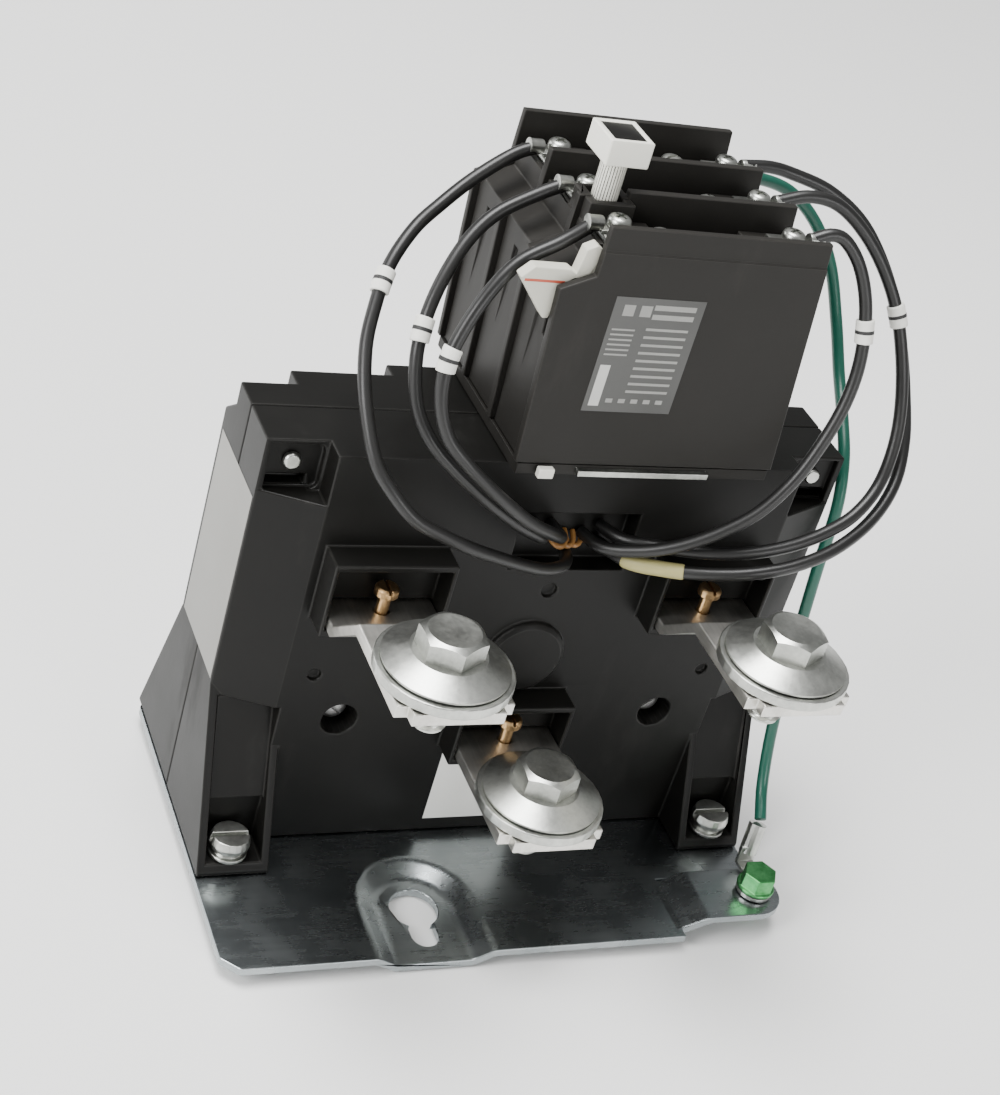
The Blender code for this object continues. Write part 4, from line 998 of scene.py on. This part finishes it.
def along_route(work, route, first, last, profile, count=28):
    """Adds a turned solid that bends along a stretch of a route, given as share and radius pairs."""
    loops = []
    for share, radius in profile:
        place = first + (last - first) * share
        k = min(int(place), len(route) - 2)
        spot = route[k].lerp(route[k + 1], place - k)
        ahead = (route[k + 1] - route[k]).normalized()
        across = ahead.cross(Vector((0.3, 0.2, 1))).normalized()
        other = ahead.cross(across)
        ring = []
        for i in range(count):
            turn = 2 * math.pi * i / count
            outward = math.cos(turn) * across + math.sin(turn) * other
            ring.append(work.verts.new(spot + radius * outward))
        loops.append(ring)
    skin(work, loops)


FINE = 0.0008
routes = {n: smooth_route([Vector(p) for p in points], FINE) for n, points in LEAD_ROUTES.items()}
lengths = {n: sum((b - a).length for a, b in zip(r, r[1:])) for n, r in routes.items()}
print({n: round(length * 1000) for n, length in lengths.items()})

# %% [markdown]
# ## Sleeves on the leads
# Five white marker sleeves are threaded on the leads, each with a plain dark band, and the lead that
# ends lowest in the window wears a yellow sleeve. Each is a tube that bends with its lead.

# %% Sleeves
MARKERS = {
    "lead_left_rear": (-0.0489, -0.0005, 0.1410),
    "lead_left_middle": (-0.0435, -0.0135, 0.1375),
    "lead_left_front": (-0.0410, -0.0238, 0.1370),
    "lead_right_middle": (0.0733, -0.0084, 0.1458),
    "lead_right_front": (0.0555, -0.0228, 0.1485),
}
MARKER_R, MARKER_LONG = 0.0021, 0.0052
BAND_SHARE, BAND_HIGH = 0.16, 0.00004
YELLOW_R, YELLOW_FROM_END = 0.0018, (0.0235, 0.0095)
sleeves = {n: [] for n in routes}


def sleeve(name, lead, first, last, radius, material):
    """A tube with rounded ends round a stretch of a lead."""
    work = bmesh.new()
    inner, rim = LEAD_R * 0.98, radius - 0.0001
    profile = [(0.0, inner), (0.0, rim), (0.03, radius)]
    profile += [(k / 12, radius) for k in range(1, 12)]
    profile += [(0.97, radius), (1.0, rim), (1.0, inner)]
    along_route(work, routes[lead], first, last, profile)
    sleeves[lead].append(closed(name, work, material, "base", 50))


for lead, place in MARKERS.items():
    route = routes[lead]
    at = min(range(len(route)), key=lambda k: (route[k] - Vector(place)).length)
    half = MARKER_LONG / FINE / 2
    sleeve(f"marker_{lead}", lead, at - half, at + half, MARKER_R, marker_white)
    band = half * BAND_SHARE
    sleeve(f"band_{lead}", lead, at - band, at + band, MARKER_R + BAND_HIGH, ink_black)
end = len(routes["lead_right_rear"]) - 1
first, last = (end - distance / FINE for distance in YELLOW_FROM_END)
sleeve("yellow_sleeve", "lead_right_rear", first, last, YELLOW_R, yellow_sleeve)
print("sleeves:", sum(len(s) for s in sleeves.values()))

# %% [markdown]
# ## The leads themselves
# A lead is a curve with a round bevel. Each stands for its plain packed tube.

# %% Leads as curves
for name, route in routes.items():
    wire = bpy.data.curves.new(name + "_wire", "CURVE")
    wire.dimensions = "3D"
    wire.bevel_depth = LEAD_R
    wire.bevel_resolution = 5
    wire.use_fill_caps = True
    spline = wire.splines.new("POLY")
    spline.points.add(len(route) - 1)
    for point, spot in zip(spline.points, route):
        point.co = (*spot, 1.0)
    piece = new_object(name + "_wire", wire)
    if name == "ground_lead":
        finish_mesh(piece, green_vinyl, "base")
    else:
        finish_mesh(piece, black_vinyl, "base")
    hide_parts(name)
print("leads:", len(routes))

# %% [markdown]
# ## Ends of the leads
# The green lead starts in a crimped barrel at the rear of the relay. Three thin brown wires loop
# through the cable window beside the lead ends.

# %% Crimp barrel and thin wires
CRIMP_LONG = 0.0060
work = bmesh.new()
along_route(work, routes["ground_lead"], 0, CRIMP_LONG / FINE, [
    (0.0, 0.0012), (0.0, 0.0018), (0.05, 0.0019), (0.4, 0.0019), (0.5, 0.0017), (0.6, 0.0019),
    (0.95, 0.0019), (1.0, 0.0018), (1.0, LEAD_R * 0.98),
])
closed("ground_crimp", work, bright_zinc, "base", 40)
WINDOW_FLOOR_Y, WINDOW_MID_Z = -0.0144, 0.0888
THIN_R, LOOP_R, LOOP_SAG = 0.00065, 0.0022, 0.0018
for number in range(3):
    x = 0.0010 + 0.0022 * number
    reach = 0.0045 - 0.0008 * number
    loop = []
    for k in range(13):
        turn = math.pi * k / 12
        loop.append(Vector((
            x + LOOP_R * math.cos(turn),
            WINDOW_FLOOR_Y - reach * math.sin(turn),
            WINDOW_MID_Z - LOOP_SAG * math.sin(turn) - 0.0003 * number,
        )))
    path = smooth_route(loop, 0.0004)
    work = bmesh.new()
    along_route(work, path, 0, len(path) - 1, [(k / 30, THIN_R) for k in range(31)], 16)
    closed(f"thin_wire_{number}", work, brown_vinyl, "base", 60)
print("lead ends made")

# %% [markdown]
# ## Tie screws in the front shell
# Two tie screws sit deep in round holes near the feet.

# %% Tie screws
TIE_X, TIE_Z, TIE_Y, TIE_R, TIE_HIGH = 0.0410, 0.0380, -0.0131, 0.0032, 0.0024
toward_front = Matrix.Rotation(math.radians(90), 4, "X")
for side in (-1, 1):
    work = bmesh.new()
    stack(work, pan_head(TIE_R, 0.0, TIE_HIGH))
    name = "tie_screw_left" if side < 0 else "tie_screw_right"
    screw = closed(name, work, plain_steel, "base")
    carve(screw, driver_cut(0.0004, 0.0040, 0.0015, 0.004, False, 0.7 * side))
    screw.data.transform(Matrix.Translation((side * TIE_X, TIE_Y, TIE_Z)) @ toward_front)
print("tie screws made")

# %% [markdown]
# ## Labels
# The labels are films with rounded edges. Their print is generic: plain bars and blocks, with no
# lettering. The rows of dashes are grown along lines.

# %% Films
SLAB_FACE_Y, SIDE_FACE_X, FIELD_FACE_Y = -0.0245, -0.0712, -0.0195
FILM = 0.00008


def film(name, low, high, material, body="base"):
    """A thin sheet with rounded edges."""
    work = bmesh.new()
    block(work, low, high, 0.00003)
    return closed(name, work, material, body)


film("relay_label", (-0.0082, SLAB_FACE_Y - FILM, 0.1266), (0.0130, SLAB_FACE_Y, 0.1543), grey_film)
film("side_label", (SIDE_FACE_X - FILM, -0.0127, 0.0452), (SIDE_FACE_X, 0.0138, 0.0945), side_paper)
film("rating_label", (-0.0124, FIELD_FACE_Y - FILM, 0.0060), (0.0130, FIELD_FACE_Y, 0.0280), white_paper)
print("films made")

# %% Printed bars
PRINT = 0.00004
INK_Y = SLAB_FACE_Y - FILM - PRINT / 2


def bars(name, count, x, z, step, width, height, material):
    """A row or column of bars on the relay's label."""
    return grown(name, BARS, {
        "Count": count,
        "Start": (x, INK_Y, z),
        "Step": step,
        "Size": (width, PRINT, height),
    }, material, "base")


bars("print_strip", 1, -0.0058, 0.1330, (0, 0, 0), 0.0024, 0.0100, pale_print)
bars("print_symbols", 2, -0.0045, 0.1512, (0.0040, 0, 0), 0.0026, 0.0026, grey_print)
bars("print_heading", 2, 0.0062, 0.1522, (0, 0, -0.0022), 0.0098, 0.0012, grey_print)
bars("print_rows", 9, 0.0058, 0.1470, (0, 0, -0.0019), 0.0100, 0.0006, grey_print)
bars("print_left_rows", 6, -0.0044, 0.1466, (0, 0, -0.0012), 0.0054, 0.0004, grey_print)
bars("print_foot", 5, -0.0024, 0.1294, (0.0030, 0, 0), 0.0016, 0.0010, grey_print)
print("print made")

# %% [markdown]
# ## A painted shade and a mark on the moving pieces
# The knob's recess has a black film at its bottom as painted shade, and the trip lever carries a red
# line. Both move with their piece.

# %% Painted shade in the knob's recess, and the lever line
RECESS_SHADE_LOW, RECESS_SHADE_HIGH = (-0.0112, -0.0097, 0.1818), (-0.0038, -0.0013, 0.1821)
LINE_LOW, LINE_HIGH = (-0.0286, -0.02226, 0.1551), (-0.0196, -0.02218, 0.1557)
# A black film on the floor of the knob's recess: painted shade.
film("knob_inset", RECESS_SHADE_LOW, RECESS_SHADE_HIGH, black_shell, "reset_knob")
film("lever_line", LINE_LOW, LINE_HIGH, red_paint, "trip_lever")
print("moving marks made")
